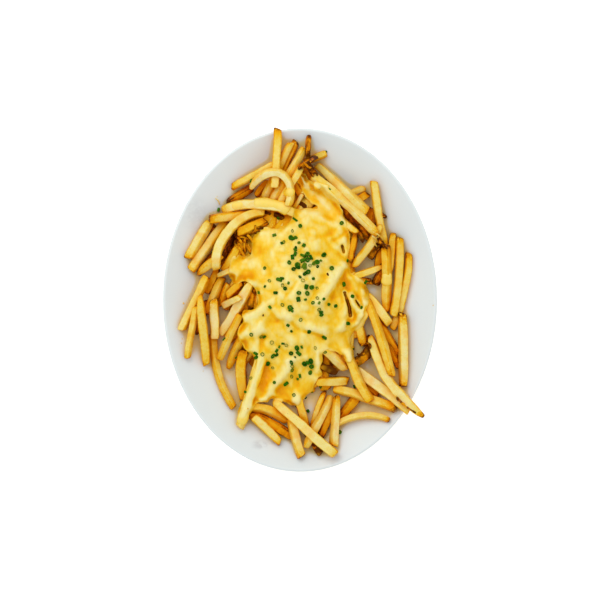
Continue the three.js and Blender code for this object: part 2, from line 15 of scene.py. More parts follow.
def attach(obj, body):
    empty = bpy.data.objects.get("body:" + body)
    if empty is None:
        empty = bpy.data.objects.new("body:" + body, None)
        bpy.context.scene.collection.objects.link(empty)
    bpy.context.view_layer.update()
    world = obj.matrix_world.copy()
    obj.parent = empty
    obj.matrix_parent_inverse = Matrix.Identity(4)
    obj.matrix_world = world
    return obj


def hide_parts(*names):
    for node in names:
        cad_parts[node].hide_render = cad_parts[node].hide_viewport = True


MM = 0.001

# Platter: a point of its profile is (inset from the edge, height).
HALF_WIDTH = 127
HALF_LENGTH = 159
RIM_HEIGHT = 24
RIM_RUN = 33
WELL_FLOOR = 7
WELL_BEND = 8
LIP_RADIUS = 2
WALL = 4.5
FOOT_INSET = 42
FOOT_WIDTH = 7
FOOT_HEIGHT = 2.5
FLAT_RADIUS = HALF_WIDTH - FOOT_INSET - FOOT_WIDTH - 2
PLATTER_SPOKES = 288
WELL_RINGS = 24
WELL_INNER_RADIUS = 6
PROFILE_ROUNDS = 3
CORNER_CUT = 0.25
INSET_HALVINGS = 24
# The warm tint close round the food: partly an oily film, partly painted bounce light from the
# fries.
OIL_AND_BOUNCE_REACH = 3.5
OIL_AND_BOUNCE_FOOD_HEIGHT = 1
# Greyer streaky patches on the glaze: x, y, half width, half length and strength.
GREY_PATCHES = [(-37, -134, 10, 5, 0.75), (-24, -131, 7, 4, 0.75), (-96, 78, 14, 20, 0.3)]

# Heap core: a rounded-square mound, which the fries under the shown ones cover.
CORE_CENTRE = (-7, 8)
CORE_HALF_WIDTH = 70
CORE_HALF_LENGTH = 108
CORE_SQUARENESS = 2.4
CORE_HEIGHT = 32
CORE_EDGE_HEIGHT = 3
CORE_PEAK = 1.6
CORE_SLOPE = 1.3
CORE_WAVE = 1.5
CORE_WAVE_RUNS = (11, 14, 30)
CORE_RINGS = 44
CORE_SPOKES = 120
INNER_CORE_SHARE = 0.8
INNER_CORE_DROP = 4
INNER_CORE_FADE = 0.3
INNER_CORE_LUMP = 0.8
INNER_CORE_LUMP_SIZE = 9

# Fries
FRY_FLATNESS = 0.94
FRY_LIMPNESS = 0.6
FRY_SINK = 0.30
FRY_CARRIED_WIDTH = 0.22
FRY_ROLL = 0.6
FRY_SWAY = 0.7
FRY_FULLNESS = 1.09
FRY_CORNER_POINTS = 4
FRY_STEP = 1.7
FRY_SECTION_POWER = 3.2
BURIAL_REACH = 3
BURIAL_DEPTH = 9
BURIAL_RISE = 2
GAP = 0.35
HEIGHT_CELL = 1.0
CURVE_STEPS = 200

# From CRISP_TONE on a fry is crisp, and wholly so CRISP_SPAN further.
CRISP_TONE = 0.62
CRISP_SPAN = 0.3

# Ranges that each fry draws from.
SECTION_ROUNDINGS = (0.22, 0.46)
CORNER_DRIFTS = (-0.12, 0.04)
FACE_TONES = (-0.06, 0.10)
FACE_DENTS = (0.93, 1.03)
END_SLIMMINGS = (-0.04, 0.15)
END_SLANTS = (-0.5, 0.5)
END_BULGES = (-0.2, 0.35)
BLUNT_RUNS = (2, 6)
BLUNT_TIPS = (0.62, 0.9)
POINTED_TIPS = (0.15, 0.32)
BROWN_REACHES = (2.0, 7.0)
TWISTS = (-0.4, 0.4)
TONE_DRIFTS = (-0.2, 0.2)

# Fries under the shown ones, which close the gaps between them.
HIDDEN_CORNER_POINTS = 2
HIDDEN_FRY_STEP = 3.2
HIDDEN_FRY_DEPTH = 0.9
HIDDEN_FRY_SINK = 0.15
HIDDEN_BED_DROP = 9
HIDDEN_TRIES = 30
HIDDEN_REACH = 0.93
HIDDEN_HALF_LENGTHS = (18, 34)
HIDDEN_WIDTHS = (6, 8.5)
HIDDEN_BOWS = (-3, 3)
HIDDEN_TONES = (0.22, 0.52)
HIDDEN_TIP = 0.3
SHOW_THROUGH_MARGIN = 3.5

# Sauce
SAUCE_THICKNESS = 2.3
SAUCE_EDGE_THICKNESS = 0.5
COATED_SINK = 0.5
SAUCE_EDGE_RUN = 4.5
SAUCE_SHEET = 4.2
SAUCE_REACH = 6
SAUCE_CELL = 0.8
SAUCE_VOXEL = 0.72
SAUCE_MARGIN = 12
FILM_REACH = 10
FOLD_SHARPNESS = 1.5
COAT_HOLLOW = -0.12
COAT_NOSE = 4.5
COAT_SIDES = 20
COAT_FLATNESS = 0.8
COAT_RISE = 1.1
HOLLOW_LIMITS = (-0.42, 0.85)
HOLLOW_WEIGHT = 0.45
CREASE_STRETCH = (1, 0.62, 1)
SAUCE_EDGE_STEP = 1.2
SAUCE_EDGE_WOBBLE = 0.7
SAUCE_EDGE_WOBBLE_SIZE = 9
SAUCE_BALL_RADIUS = 14
SAUCE_INWARD_RUN = 7
SAUCE_FLOW = 0.15
SAUCE_FLOW_SIZE = 16
SAUCE_SMOOTHING = 2
# Blurs of the surface under the sauce: for its soft middle and for its edge.
SOFT_BLUR = 1.5
EDGE_BLUR = 1.3
# Hollows of the sauce's top, broad and fine, by which its colour is given painted shade: the blur
# that finds them and their full depth.
BROAD_BLUR = 5
BROAD_DEPTH = 2.6
FINE_BLUR = 2
FINE_DEPTH = 1.1
FAR_AWAY = 1e9

SEED = 20
# Creases all over the sauce: seed, size and height.
SAUCE_CREASES = [
    (SEED + 41, 30, 1.1), (SEED + 42, 14, 0.75), (SEED + 43, 8, 0.42), (SEED + 44, 4.5, 0.20),
]

# The fries from the lowest to the highest: start x, start y, end x, end y, width, bow to
# the left of the way, tone from 0 (pale) to 1 (dark), and how brown the two ends are.
LOWEST_FRIES = [
    (-30, 111, -41, 96, 6.5, 0, .45, .2, .2),
    (-4, 147, -26, 93, 7.5, 0, .35, .7, .1),
    (-12, 120, 2, 94, 8, 0, .60, .3, .3),
    (-68, 89, -44, 105, 8, 0, .55, .9, .1),
    (25, 135, 4, 128, 6.5, 0, .25, .3, .2),
    (31, 98, 58, 62, 8.5, 0, .80, .6, .6),
    (24, 112, 44, 92, 7, 0, .70, .5, .5),
    (-57, 66, -74, 33, 8, 0, .70, .5, .5),
    (-45, 66, -62, 50, 7, 0, .60, .4, .4),
    (-49, 60, -58, 40, 7, 0, .90, .8, .8),
    (-31, 73, -57, 62, 9, 0, .50, .4, .3),
    (-54, 53, -67, 24, 8, 0, .45, .3, .3),
    (-56, 50, -71, 28, 7, 0, .35, .3, .3),
    (-77, 44, -95, 24, 6, 0, .60, .3, .5),
    (-66, 15, -75, -6, 7.5, 0, .50, .2, .3),
    (-77, 29, -87, 6, 6.5, 0, .30, .3, .4),
    (-88, 0, -95, -32, 6.5, 0, .60, .3, .3),
    (-52, 15, -67, 3, 8, 0, .50, .3, .3),
    (-42, 18, -45, -9, 7, 0, .85, .8, .8),
    (67, 85, 62, 55, 9, 0, .45, .3, .3),
    (76, 50, 72, 28, 8, 0, .55, .4, .3),
    (79, 33, 69, 15, 8.5, 0, .60, .3, .5),
    (51, 19, 67, 17, 6, 0, .55, .3, .5),
    (52, 63, 46, 35, 6.5, 0, .65, .5, .4),
    (72, 52, 64, 40, 8.5, 0, .95, .9, .9),
    (68, -11, 93, -51, 8, 0, .55, .2, .4),
    (81, -39, 92, -64, 6, 0, .60, .3, .4),
    (-63, 60, -72, 36, 7, 0, .80, .6, .5),
    # The next fry is a nearly black piece in the hole under the sauce's ledge: painted shadow.
    (19, -60, 34, -67, 8, 0, 1.4, .9, .9),
    (49, 71, 59, 54, 4.5, 0, 1.0, .9, .9),
    (54, 70, 63, 58, 5, 0, .55, .5, .5),
    (62, -34, 79, -68, 6.5, 0, .55, .3, .3),
    (53, -17, 59, -43, 8.5, 0, .25, .4, .9),
    (-85, 71, -74, 60, 8, 0, .60, .5, .4),
    (2, 125, 14, 106, 8, 0, .55, .3, .3),
    (64, -42, 48, -58, 10, 4, .88, .9, .9),
    (57, -75, 73, -89, 7.5, 0, .55, .3, .4),
    (53, -90, 36, -110, 9, 0, .55, .2, .2),
    (-4, -88, 6, -120, 8, 0, .45, .2, .3),
    (33, -95, 19, -127, 7.5, 0, .50, .3, .4),
    (5, -121, 19, -143, 8.5, 0, .95, .8, .9),
    (-48, -105, -5, -127, 8.5, 1, .60, .3, .4),
]
FAR_END_FRIES = [
    (-8, 145, -34, 94, 8, 0, .20, .3, .1),
    (-63, 104, -24, 125, 7.5, 0, .20, .5, .1),
    (4, 140, -24, 92, 7.5, 0, .15, .4, .1),
    (3, 126, -20, 88, 6.5, 0, .15, .2, .1),
    (-20.5, 157.8, -24, 103, 7.5, 1, .25, .9, .1),
    (8, 152, 7, 129, 5.5, 0, .80, .7, .9),
    (14, 132, -2, 120, 5.5, 0, .75, .8, .6),
    (6, 126, 16, 111, 6, 0, .70, .9, .6),
    (2, 98, -6.5, 84, 3.4, 0, .0, .0, .0),
    # The next fry is a nearly black piece in a dark hole by the sauce: painted shadow.
    (-24, 79, -15, 75, 5.5, 0, 1.3, .9, .9),
    (-35, 82, -27, 79, 4, 0, 1.1, .9, .9),
    # The next fry is a nearly black piece in the pocket under the sauce's edge: painted shadow.
    (.5, 90.5, 6.5, 86, 5, 0, 1.3, .9, .9),
]
LEFT_BANK_FRIES = [
    (-83, 73, -103, 38, 9, 0, .20, .3, .8),
    (-68, 72, -101, 27, 9, 0, .12, .7, .6),
    (-72, 41, -95, 23, 7.5, 0, .35, .2, .6),
    (-86, 22, -110, -28, 9, 0, .30, .3, .1),
    (-96, -6, -105, -54, 6.5, 0, .28, .2, .4),
    (-72, 21, -86, -13, 7.5, 0, .35, .2, .3),
    (-81, -33, -61, -100, 8, -5, .30, .2, .4),
    (-44, 17, -73, -32, 10, 0, .05, .5, .2),
    (-55, 3, -71, -5, 6, 0, .05, .2, .2),
    (-55, -13, -76, -55, 7.5, 0, .30, .3, .3),
    (-92, 5, -87, -60, 7.5, 0, .28, .3, .4),
    (-79, 1, -79, -36, 8, 0, .12, .9, .1),
    (-53, -31, -67, -64, 8.5, 0, .35, .5, .4),
    (-58, 30, -76, 22, 5.5, 0, .25, .2, .2),
    (-52, -46, -52, -92, 9, -3, .48, .4, .3),
    (-84, 74, -44, 81, 8.5, 0, .30, .8, .1),
    (-33, 80, -76, 30, 8.8, -14, .12, .1, .2),
    (-71, 83.5, -6, 80.5, 8.5, 6.5, .10, .6, .1),
    (-45, 102, -11, 86, 8, 24, .12, .4, .1),
]
RIGHT_BANK_FRIES = [
    (51, 22, 77, 31, 6.5, 0, .30, .2, .4),
    (63, 99, 44, 87, 6.5, 0, .40, .7, .2),
    (60, 104, 40, 96, 6.5, 0, .20, .5, .1),
    (70, 83, 80, 76, 4, 0, .70, .9, .9),
    (68, 110, 79, 50, 7.5, -1, .20, .2, .4),
    (76, 69, 50, 30, 8, 0, .30, .3, .3),
    (87, 62, 83, 22, 7, 0, .35, .7, .3),
    (79, 50, 80.3, -11, 9, 0, .35, .8, .4),
    (100, 44, 85, -27, 7.5, 4, .30, .5, .6),
    (92, 58, 86, -15, 7.5, 2, .25, .9, .3),
    (63, 6, 82, -22, 7.5, 0, .20, .1, .4),
    (96, -12, 95, -80, 8.5, 0, .15, .9, .9),
    (35, 77, 53, 62, 6.5, 0, .15, .1, .4),
    (16, 125, 62, 81, 8.5, 0, .12, .3, .4),
    (11, 114, 72, 59, 8.5, 2, .12, .3, .9),
    # The next fry is a nearly black piece in a slit of the sauce: painted shadow.
    (38, 54, 41, 40, 5, 0, 1.45, .9, .9),
    # The next fry is a dark piece along the second slit of the sauce: painted shadow.
    (41, 8, 46, -17, 6.5, 1, .84, .9, .5),
]
NEAR_END_FRIES = [
    (15, -75, 45, -75, 8.5, 0, .30, .2, .9),
    (22, -45, 43, -64, 8.5, 0, .12, .1, .3),
    (31, -118, 83, -111, 6.5, 8, .25, .2, .8),
    (31, -83, 89, -101, 9, 2, .25, .3, .8),
    (52, -65, 100.5, -102.5, 9, 1, .18, .1, .4),
    (66, -33, 114, -106.5, 8.5, -9, .20, .5, .9),
    (61, 1, 84, -70, 8.5, 2, .35, .2, .4),
    (43, -46, 65, -94, 9, -2, .30, .1, .2),
    (-43, -108, -18, -132, 7.5, 0, .25, .2, .4),
    (-48, -99, -11, -113, 8.5, 3, .35, .3, .2),
    (22, -84, 12, -120, 6.5, 0, .30, .8, .2),
    (29, -89, 6, -135, 7.5, 1, .20, .2, .3),
    (-9, -111, 2, -145, 8.5, 0, .20, .2, .7),
    (34, -89, 31, -135, 7.5, 0, .15, .8, .6),
    (-22, -96, 33, -142, 8.5, 0, .15, .1, .5),
    (-35, -48, -56, -118, 8.5, 0, .10, .0, .1),
]
# The ends that narrow to a point, and over what length.
POINTED_ENDS = {
    (-45, 102): 16, (66, -33): 16, (114, -106.5): 34, (22, -84): 14, (63, 6): 14, (77, 31): 12,
    (83, 22): 14, (-44, 17): 18, (76, 69): 14, (-95, 23): 14, (3, 126): 12, (-2, 120): 12,
    (72, 59): 12, (81, -39): 14, (-92, 5): 16, (-67, -64): 14,
}

# Fries under the shown ones, drawn at random: centre x, y, half width, half length,
# heading and spread of headings in degrees, and count.
HIDDEN_PATCHES = [
    (-15, 95, 40, 22, -115, 25, 22),
    (-60, 45, 22, 28, -125, 30, 20),
    (-58, -22, 20, 38, -105, 25, 22),
    (-5, 10, 42, 65, -110, 60, 38),
    (52, 38, 18, 42, -80, 25, 18),
    (50, -32, 16, 24, -80, 30, 12),
    (0, -84, 42, 22, -70, 45, 20),
]
# Where the platter shows between the fries: x, y, radius.
SHOW_THROUGH = [
    (55, 46, 5), (63, 34, 6), (70, 4, 6), (66, -57, 7), (-68, -79, 6), (-46, -63, 5),
    (8, -98, 7), (21, -92, 4), (58, -99, 6), (79, -92, 5), (-45, 97, 5), (-82, 40, 3),
    (-67, 18, 3),
]

# Fries wholly coated in sauce, in the form of the others: no tone and no ends.
COATED_FRIES = [
    (-7, -57, -38, -95, 8, 0),
    (41, 35, 16, -4, 8.5, 0),
    (-30, 0, -45, -48, 8, 0),
    (-35, -8, -53, -19, 7.5, 0),
    (-33, -27, -57, -34, 6.5, 0),
    (-19, -13, -8, -17, 7.5, 0),
    (8, -25, 26, -29.5, 6, 0),
    (37, -28, 44, 0, 7.5, 0),
    (46, 4, 59, -18, 7.5, 0),
]

# The sauce's edge, clockwise from the tip of its arm at the far end.
SAUCE_EDGE = [
    (-1, 118), (5, 116), (9, 111), (15, 108), (22, 107), (27, 105.5), (26.5, 102), (32, 97),
    (36, 89.5), (39.5, 82), (42, 74), (44.5, 66), (46.5, 58), (46, 48), (44, 39), (45.5, 30.5),
    (49, 24.5), (54, 21), (58.5, 17.5), (62, 13), (64.5, 7.5), (64, .5), (63, -5.5),
    (61.5, -11.5), (59.5, -18), (57, -21), (53.5, -25), (49.5, -29), (47, -36), (46.5, -41),
    (50, -46), (50, -52), (47.5, -57.5), (43.5, -58), (41, -53), (36, -49.5), (30, -47),
    (25, -46), (21.5, -48), (20.5, -54.5), (19.5, -62.5), (20.5, -70), (17, -71), (15.5, -75),
    (11, -84), (5, -91), (-1, -98), (-7.5, -98.5), (-11, -96.5), (-16.5, -93.5), (-27, -92),
    (-30, -95.5), (-37, -94.5), (-41, -96.5), (-44, -103), (-52, -110), (-59, -107), (-52, -90),
    (-42, -66), (-42, -53), (-50, -46), (-58, -32), (-53, -20), (-52, -10), (-40, -7), (-41, 9),
    (-50, 17), (-61, 15), (-66, 26), (-61, 41), (-46, 41), (-45, 55), (-40, 63), (-35, 66.5),
    (-30, 67.5), (-22.5, 66), (-16, 67), (-11, 70.5), (-8, 75.5), (-8, 79.5), (-6, 84),
    (4, 84.5), (15, 85), (16.5, 85.5), (15, 87), (7.5, 91.5), (4.5, 95), (2, 99), (-.5, 103),
    (-1.5, 106.5), (-2.5, 111.5), (-2.5, 116),
]
# Slits in the sauce: start, end and half width.
SAUCE_SLITS = [
    (39, 50, 40.5, 44, 1.2),
    (41, 7, 43, 1, 1.0),
    (43, 1, 45.5, -7, 1.4),
    (45.5, -7, 46.5, -14.5, 1.6),
    (51.5, -.5, 55, -6, 0.8),
]
# Folds of the sauce: start, end, width, bow and height, below 0 for a groove.
SAUCE_FOLDS = [
    (9, 60, 27, 61, 7, -2, -1.3),
    (4, 54, 37, 61, 8, -2, 0.9),
    (24, 78, 39, 71, 5, 0, -0.8),
    (14, 80, 35, 66, 6, 0, 1.1),
    (31, 55, 42, 63, 4, -1, -1.2),
    (33, 48, 44, 58, 5, -1, 1.3),
    (2, 44, 23, 42, 6, 0, -1.5),
    (-35, 37, -28, 24, 9, 0, -2.2),
    (41, 26, 44, 9, 7, 0, -2.2),
    (-34, -34, -37, -52, 6, 0, -2.0),
    (-31, -61, -35, -88, 10, 0, -3.2),
    (-28, -9, -21, -19, 4, 0, -0.9),
    (-21, -19, -2, -27, 4, 3, -1.2),
    (4, -29, 22, -35, 3, 1, -1.4),
    (16, -48, 18, -64, 7, 0, 2.0),
    (52, 9, 59, 0, 8, 0, 2.2),
    (-12, 66, -26, 44, 12, 0, 2.0),
    (-25, -9, -41, -28, 8, 0, 1.4),
    (-16, -1, -3, 17, 3, 0, -0.9),
    (-26, -27, 8, -40, 12, -3, 1.0),
    (58, 8, 59, -14, 7, 0, 2.2),
    (59, -14, 46, -28, 7, 0, 1.8),
    (-6, -60, -1, -84, 9, 0, -1.6),
    (5, -52, -12, -56, 8, 0, 1.2),
    (-48, 34, -58, 24, 14, 0, 1.8),
    (24, 22, 8, -2, 7, 0, -1.2),
    (-8, 30, -22, 2, 12, 0, 1.0),
    (0, 110, 23, 105, 6, 1, 1.0),
    (12, 96, 23, 102, 4, 0, -0.6),
    (17, 93, 27, 84, 3, 0, 0.9),
    (24, 99, 37, 84, 4, 1, 1.2),
    (9, 103, 22, 90, 3, 0, 0.7),
    (-40, 4, -32, 0, 7, 0, -2.0),
    (49, 0, 56, -7, 2.4, 0, -1.2),
    (-37, -92, -28, -93, 4, 0, 1.4),
]
# Places painted more amber and, below 0, paler and creamier: partly painted shade and painted light,
# partly the sauce's own uneven colour. x, y, radius and how amber.
SAUCE_SHADE_AND_LIGHT_TINTS = [
    (0, 115, 4, .2), (34, 79, 6, .3), (14, 91, 4, .3), (26, 61, 8, .4), (-38, 48, 7, .7),
    (34, 39, 8, .2), (-47, 21, 8, .3), (-59, 25, 8, .4), (42, 17, 6, .3), (52, -8, 6, .3),
    (40, -18, 6, .3), (-33, -77, 10, .4), (6, -84, 9, .5), (-17, -86, 7, .4), (-16, 71, 6, .7),
    (-50, -37, 6, .4), (-31, -46, 5, .5),
    (3, 79, 8, -.3), (5, 108, 8, -.6), (15, 102, 9, -.8), (25, 95, 8, -.8), (33, 86, 8, -.7),
    (39, 77, 6, -.4), (-28, 60, 8, -.3),
    (-49, 34, 7, -.3), (31, 29, 6, -.2), (56, 8, 6, -.3), (-14, -17, 5, -.3), (-42, -16, 7, -.2),
    (-32, -93, 5, -.5), (3, 18, 12, -.1), (42, 51, 6, -.3),
]
# Coats of sauce on single fries: start, end, width and bow.
SAUCE_COATS = [
    (-64, 85.5, -50.5, 88, 9.8, .5),
    (-43.5, 88.3, -9, 81.6, 11, 3),
    (-33, -48, -55, -116, 10, 0),
    (80, 26, 79.2, 12.5, 10.4, .5),
    (-14.5, 97.4, -4.5, 98.6, 9.8, .5),
    (0, 108, 20, 104.5, 11, 1),
    (-24, -93, -18, -99, 9, 0),
    (43, 52, 44, 44, 6, 0),
    (46, 24, 60, 6, 8.5, 3),
    (60, 4, 50, -28, 8.5, 4),
]

# Chopped chives: x and y, in three sizes by radius. First the thick dark cuts.
LARGE_CHIVE, MEDIUM_CHIVE, SMALL_CHIVE = 2.4, 2.05, 1.5
CHIVE_CUTS = {
    LARGE_CHIVE: [
        (-7, 39), (3, 40.5), (6.5, 41.5), (10, 38.5), (2.5, 36), (7, 36.5), (-2.5, 32), (4, 31),
        (12.5, 33.5), (15.5, 34.5), (-18.5, 18.5), (5.5, 12), (-1, 6.5), (-1.5, .5),
        (19.5, -13.5), (22.5, -34), (-1.5, -49), (4, -58.5), (7, -57.5), (10, -56), (40, 14.5),
    ],
    MEDIUM_CHIVE: [
        (-4.5, 46), (-4.5, 42), (-10, 34), (-2, 30), (4.5, 29.5), (-6, 28), (21.5, 41), (29, 29),
        (7.5, 25.5), (4.5, 24), (-22, 6.5), (-16.5, 19.5), (-13.5, 10.5), (10.5, 11.5),
        (6.5, 6), (12, -2.5), (19, -11), (-9, -6.5), (-27.5, -6.5), (-11, -23), (8.5, -28.5),
        (-21.5, -46.5), (-25, -51.5), (-30, -58), (-40.5, -49), (-40, -53), (-3, -44),
        (-8, -49), (-8, -57.5), (10.5, -61), (9.5, -67), (0, -70), (-13, -77), (-4, -98.5),
        (23, -48), (0, 68), (-23.5, 59.5), (38.5, 71), (-8.5, 57), (-6.5, 56), (-4, 57),
        (3.5, 50), (-4, 47.5), (-50, -85), (7.5, -103.5), (19, -81), (54, -61.5), (51, -80.5),
        (37, -123), (-76, 84), (-45, 109.5), (48, 3), (43.5, -21.5), (61, 16.5),
    ],
    SMALL_CHIVE: [
        (16, 30.5), (19, 36), (0, 21), (12, 19.5), (-32.5, 29), (-32, 12.5), (-37.5, 7),
        (-10.5, 15.5), (5, .5), (21.5, 1), (17.5, -2.5), (26, -4), (-7, -10), (-8, -28.5),
        (-32.5, -33.5), (-15.5, -40), (-19, -43), (-21.5, -50.5), (1.5, -43), (-4.5, -52.5),
        (-2, -73), (-23.5, -76), (5, -91), (11, -85.5), (-17, 52), (-1, 52.5), (27, 102),
        (-20, 75.5), (70, 71), (43.5, 36), (56.5, -7.5), (32.5, -5.5), (49.5, -45.5),
        (24, 137.5), (-59, -53),
    ],
}
# Chives seen end on, as green rings and as pale ones.
GREEN_RINGS = [
    (-28, 17.5), (15.5, 11), (-16, -4.5), (.5, -18), (-44.5, -31.5), (-34.5, -50),
    (-7.5, -64.5), (-5.5, -88), (-15, 53), (-50, -71.5),
]
PALE_RINGS = [
    (9, 31.5), (-16, 13.5), (-36, -33.5), (-26, -39), (-12.5, -41.5), (-25, -62.5),
    (-7.5, -61), (-8, -70.5), (-7, 63.5), (-45, -72), (16, 1.5), (2.5, 18), (17.5, -8.5),
    (14, -44),
]
# Chives that lie along the surface: x, y, heading in degrees and length.
LYING_CHIVES = [(-4.5, 74, -30, 5), (-70, -36, 45, 4.5), (-8, -8.5, -55, 5)]

CHIVE_LIFT = 0.55
CHIVE_SIDES = 14
CHIVE_LYING_SHARE = 0.48
CRUMB_RINGS = 6
CRUMB_SIDES = 9

# Crisp brown bits: start, end, width, bow and tone.
CRISP_BITS = [
    (-61, 60, -53, 50, 2.2, 1, .75),
    (-50, 57, -50, 44, 2.6, -1, .60),
    (-53, 55, -45, 42, 2.8, 1, .70),
    (-48, 52, -44, 42, 2.6, 0, .50),
    (-41, 69, -41, 61, 2.4, 0, .60),
    (-45, 62, -37, 64, 2.4, 1, .80),
    (-39, 67, -34, 66, 2.2, 0, .90),
    (-56, 48, -50, 40, 2.8, 0, .40),
    (-57, 57, -47, 55, 1.6, 1, .60),
    (-60, 54, -52, 44, 1.8, -1, .80),
    (-49, 60, -43, 51, 2.2, 1, .55),
    (88.5, -88.5, 112, -107, 2.4, -1.8, .90),
    (9, 126, 16, 131, 3.4, 1, .85),
    (3, 127, 10, 121, 3.0, -1, .80),
    (12, 113, 16, 114, 1.6, 3, .85),
    (60, -41, 64, -45, 2.2, 3, .90),
    (53, -50, 62, -46, 3.0, -2, 1.0),
    (74, 54, 80, 47, 2.6, 1, .95),
    (71, 57, 77, 50, 2.2, -1, .90),
    (70, 47, 75, 52, 3.2, 0, .95),
    (66, 59, 74, 52, 1.8, 0, .20),
    (69, 61, 77, 54, 1.6, 1, .25),
    (67, 57, 71, 49, 1.5, -1, .30),
    (-79, 94, -75, 88.5, 1.1, 1, .20),
]
# Crumbs: x, y, size and tone.
CRUMBS = [
    (-108, -3, 2.2, .4), (-110, -40, 1.4, .3), (-77, 96, 1.0, .2), (123, -5, 1.0, .3),
    (-21, -115, 1.2, .5), (-56, -94, 1.8, .5), (-53, -92, 1.3, .4), (-60, -96, 1.2, .4),
    (-109, -36, 1.0, .3), (-106, -39, .9, .3), (88, -88, 1.0, .5), (44, -102, 1.1, .6),
    (-48, -100, 1.6, .6), (-90, -66, .9, .3), (25.4, 23.7, 2.6, 1.1), (-33.7, -14, 1.8, 1.1),
]

CAMERA_DISTANCE = 1800
VIEW_WIDTH = 554
SENSOR_WIDTH = 36
HORIZON_LIGHT = 0.52
ZENITH_LIGHT = 0.86
# The key light's power in watts, its size and distance in metres, and the way to it.
KEY_POWER = 7
KEY_SIZE = 1.2
KEY_DISTANCE = 1.6
KEY_DIRECTION = (-0.30, 0.55, 1.0)
FLOOR_HALF_SIZE = 2500
FLOOR_GLOW = 0.42

HALF_TURN = math.pi


def srgb(red, green, blue):
    """A linear colour from display values of 0 to 255."""
    def linear(value):
        share = value / 255
        return share / 12.92 if share <= 0.04045 else ((share + 0.055) / 1.055) ** 2.4
    return (linear(red), linear(green), linear(blue), 1)


def smooth_share(value):
    """0 below 0 and 1 above 1, with a soft S between."""
    share = np.clip(value, 0, 1)
    return share * share * (3 - 2 * share)


class Ripple:
    """A smooth random field of about -1 to 1, made of a few seeded waves."""

    def __init__(self, seed, scale, waves=9):
        draw = np.random.default_rng(seed)
        heading = draw.normal(size=(waves, 3))
        heading /= np.linalg.norm(heading, axis=1)[:, None]
        self.waves = heading * draw.uniform(0.6, 1.5, (waves, 1)) * 2 * HALF_TURN / scale
        self.phases = draw.uniform(0, 2 * HALF_TURN, waves)

    def at(self, points):
        swing = np.sin(points @ self.waves.T + self.phases)
        return swing.sum(axis=1) / math.sqrt(len(self.phases)) / 1.4


def drawn_ripple(draw, scale):
    """A ripple whose seed comes from the draw."""
    return Ripple(draw.randrange(10 ** 6), scale)


def flat_points(x, y):
    """The places of a grid as points at height 0."""
    return np.column_stack([x.ravel(), y.ravel(), 0 * x.ravel()])


def circle_angles(count):
    """Evenly spaced angles round a circle."""
    return np.arange(count) * 2 * HALF_TURN / count


def between_cells(field, column, row):
    """Values of a field between its cells, weighted by nearness."""
    column = np.clip(column, 0, field.shape[1] - 1.001)
    row = np.clip(row, 0, field.shape[0] - 1.001)
    c, r = column.astype(int), row.astype(int)
    u, v = column - c, row - r
    near = field[r, c] * (1 - u) + field[r, c + 1] * u
    far = field[r + 1, c] * (1 - u) + field[r + 1, c + 1] * u
    return near * (1 - v) + far * v


# ---- Meshes ----

class Pile:
    """Meshes gathered into one, with named values at their vertices. Points are in mm."""

    def __init__(self):
        self.points = []
        self.faces = []
        self.values = {}
        self.count = 0

    def add(self, points, faces, **values):
        self.points.append(points)
        self.faces.extend([tuple(corner + self.count for corner in face) for face in faces])
        for name, value in values.items():
            filled = np.broadcast_to(np.asarray(value, float), (len(points),))
            self.values.setdefault(name, []).append(filled)
        self.count += len(points)

    def to_object(self, name):
        return make_object(name, np.vstack(self.points), self.faces, self.joined_values())

    def joined_values(self):
        return {name: np.concatenate(parts) for name, parts in self.values.items()}


def make_object(name, points, faces, values):
    mesh = bpy.data.meshes.new(name)
    mesh.from_pydata((points * MM).tolist(), [], faces)
    mesh.validate()
    mesh.shade_smooth()
    for value_name, numbers in values.items():
        set_value(mesh, value_name, numbers)
    obj = bpy.data.objects.new(name, mesh)
    bpy.context.scene.collection.objects.link(obj)
    return obj


def set_value(mesh, name, numbers):
    attribute = mesh.attributes.new(name, "FLOAT", "POINT")
    attribute.data.foreach_set("value", np.asarray(numbers, np.float32))


def points_of(mesh):
    """A mesh's vertices in millimetres."""
    flat = np.zeros(len(mesh.vertices) * 3, np.float32)
    mesh.vertices.foreach_get("co", flat)
    return flat.reshape(-1, 3) / MM


def ring_quads(low, high, around):
    """Quads between two rings, whose first points are numbered low and high."""
    faces = []
    for spoke in range(around):
        after = (spoke + 1) % around
        faces.append((low + spoke, low + after, high + after, high + spoke))
    return faces


def tube_faces(rings, around):
    """Quads between rings, and a fan to a cap point at each end."""
    faces = []
    for ring in range(rings - 1):
        faces.extend(ring_quads(ring * around, (ring + 1) * around, around))
    first_cap = rings * around
    last = (rings - 1) * around
    for spoke in range(around):
        after = (spoke + 1) % around
        faces.append((first_cap, after, spoke))
        faces.append((first_cap + 1, last + spoke, last + after))
    return faces


# ---- Platter ----

TOP_PROFILE = [
    (RIM_RUN + WELL_BEND, WELL_FLOOR),
    (RIM_RUN + WELL_BEND * 0.4, WELL_FLOOR + 0.8),
    (RIM_RUN - WELL_BEND * 0.3, WELL_FLOOR + 3.4),
    (RIM_RUN * 0.45, RIM_HEIGHT - 6.4),
    (LIP_RADIUS * 2, RIM_HEIGHT - 0.9),
    (LIP_RADIUS, RIM_HEIGHT),
]
LIP_PROFILE = [
    (LIP_RADIUS * 0.4, RIM_HEIGHT - LIP_RADIUS * 0.4),
    (0, RIM_HEIGHT - LIP_RADIUS),
    (LIP_RADIUS * 0.4, RIM_HEIGHT - LIP_RADIUS * 1.6),
]
UNDER_PROFILE = [
    (RIM_RUN * 0.45, RIM_HEIGHT - 6.4 - WALL),
    (RIM_RUN, WELL_FLOOR + 2 - WALL * 0.8),
    (FOOT_INSET - 1.5, FOOT_HEIGHT),
    (FOOT_INSET, 0),
    (FOOT_INSET + FOOT_WIDTH, 0),
    (FOOT_INSET + FOOT_WIDTH + 1.5, FOOT_HEIGHT),
]


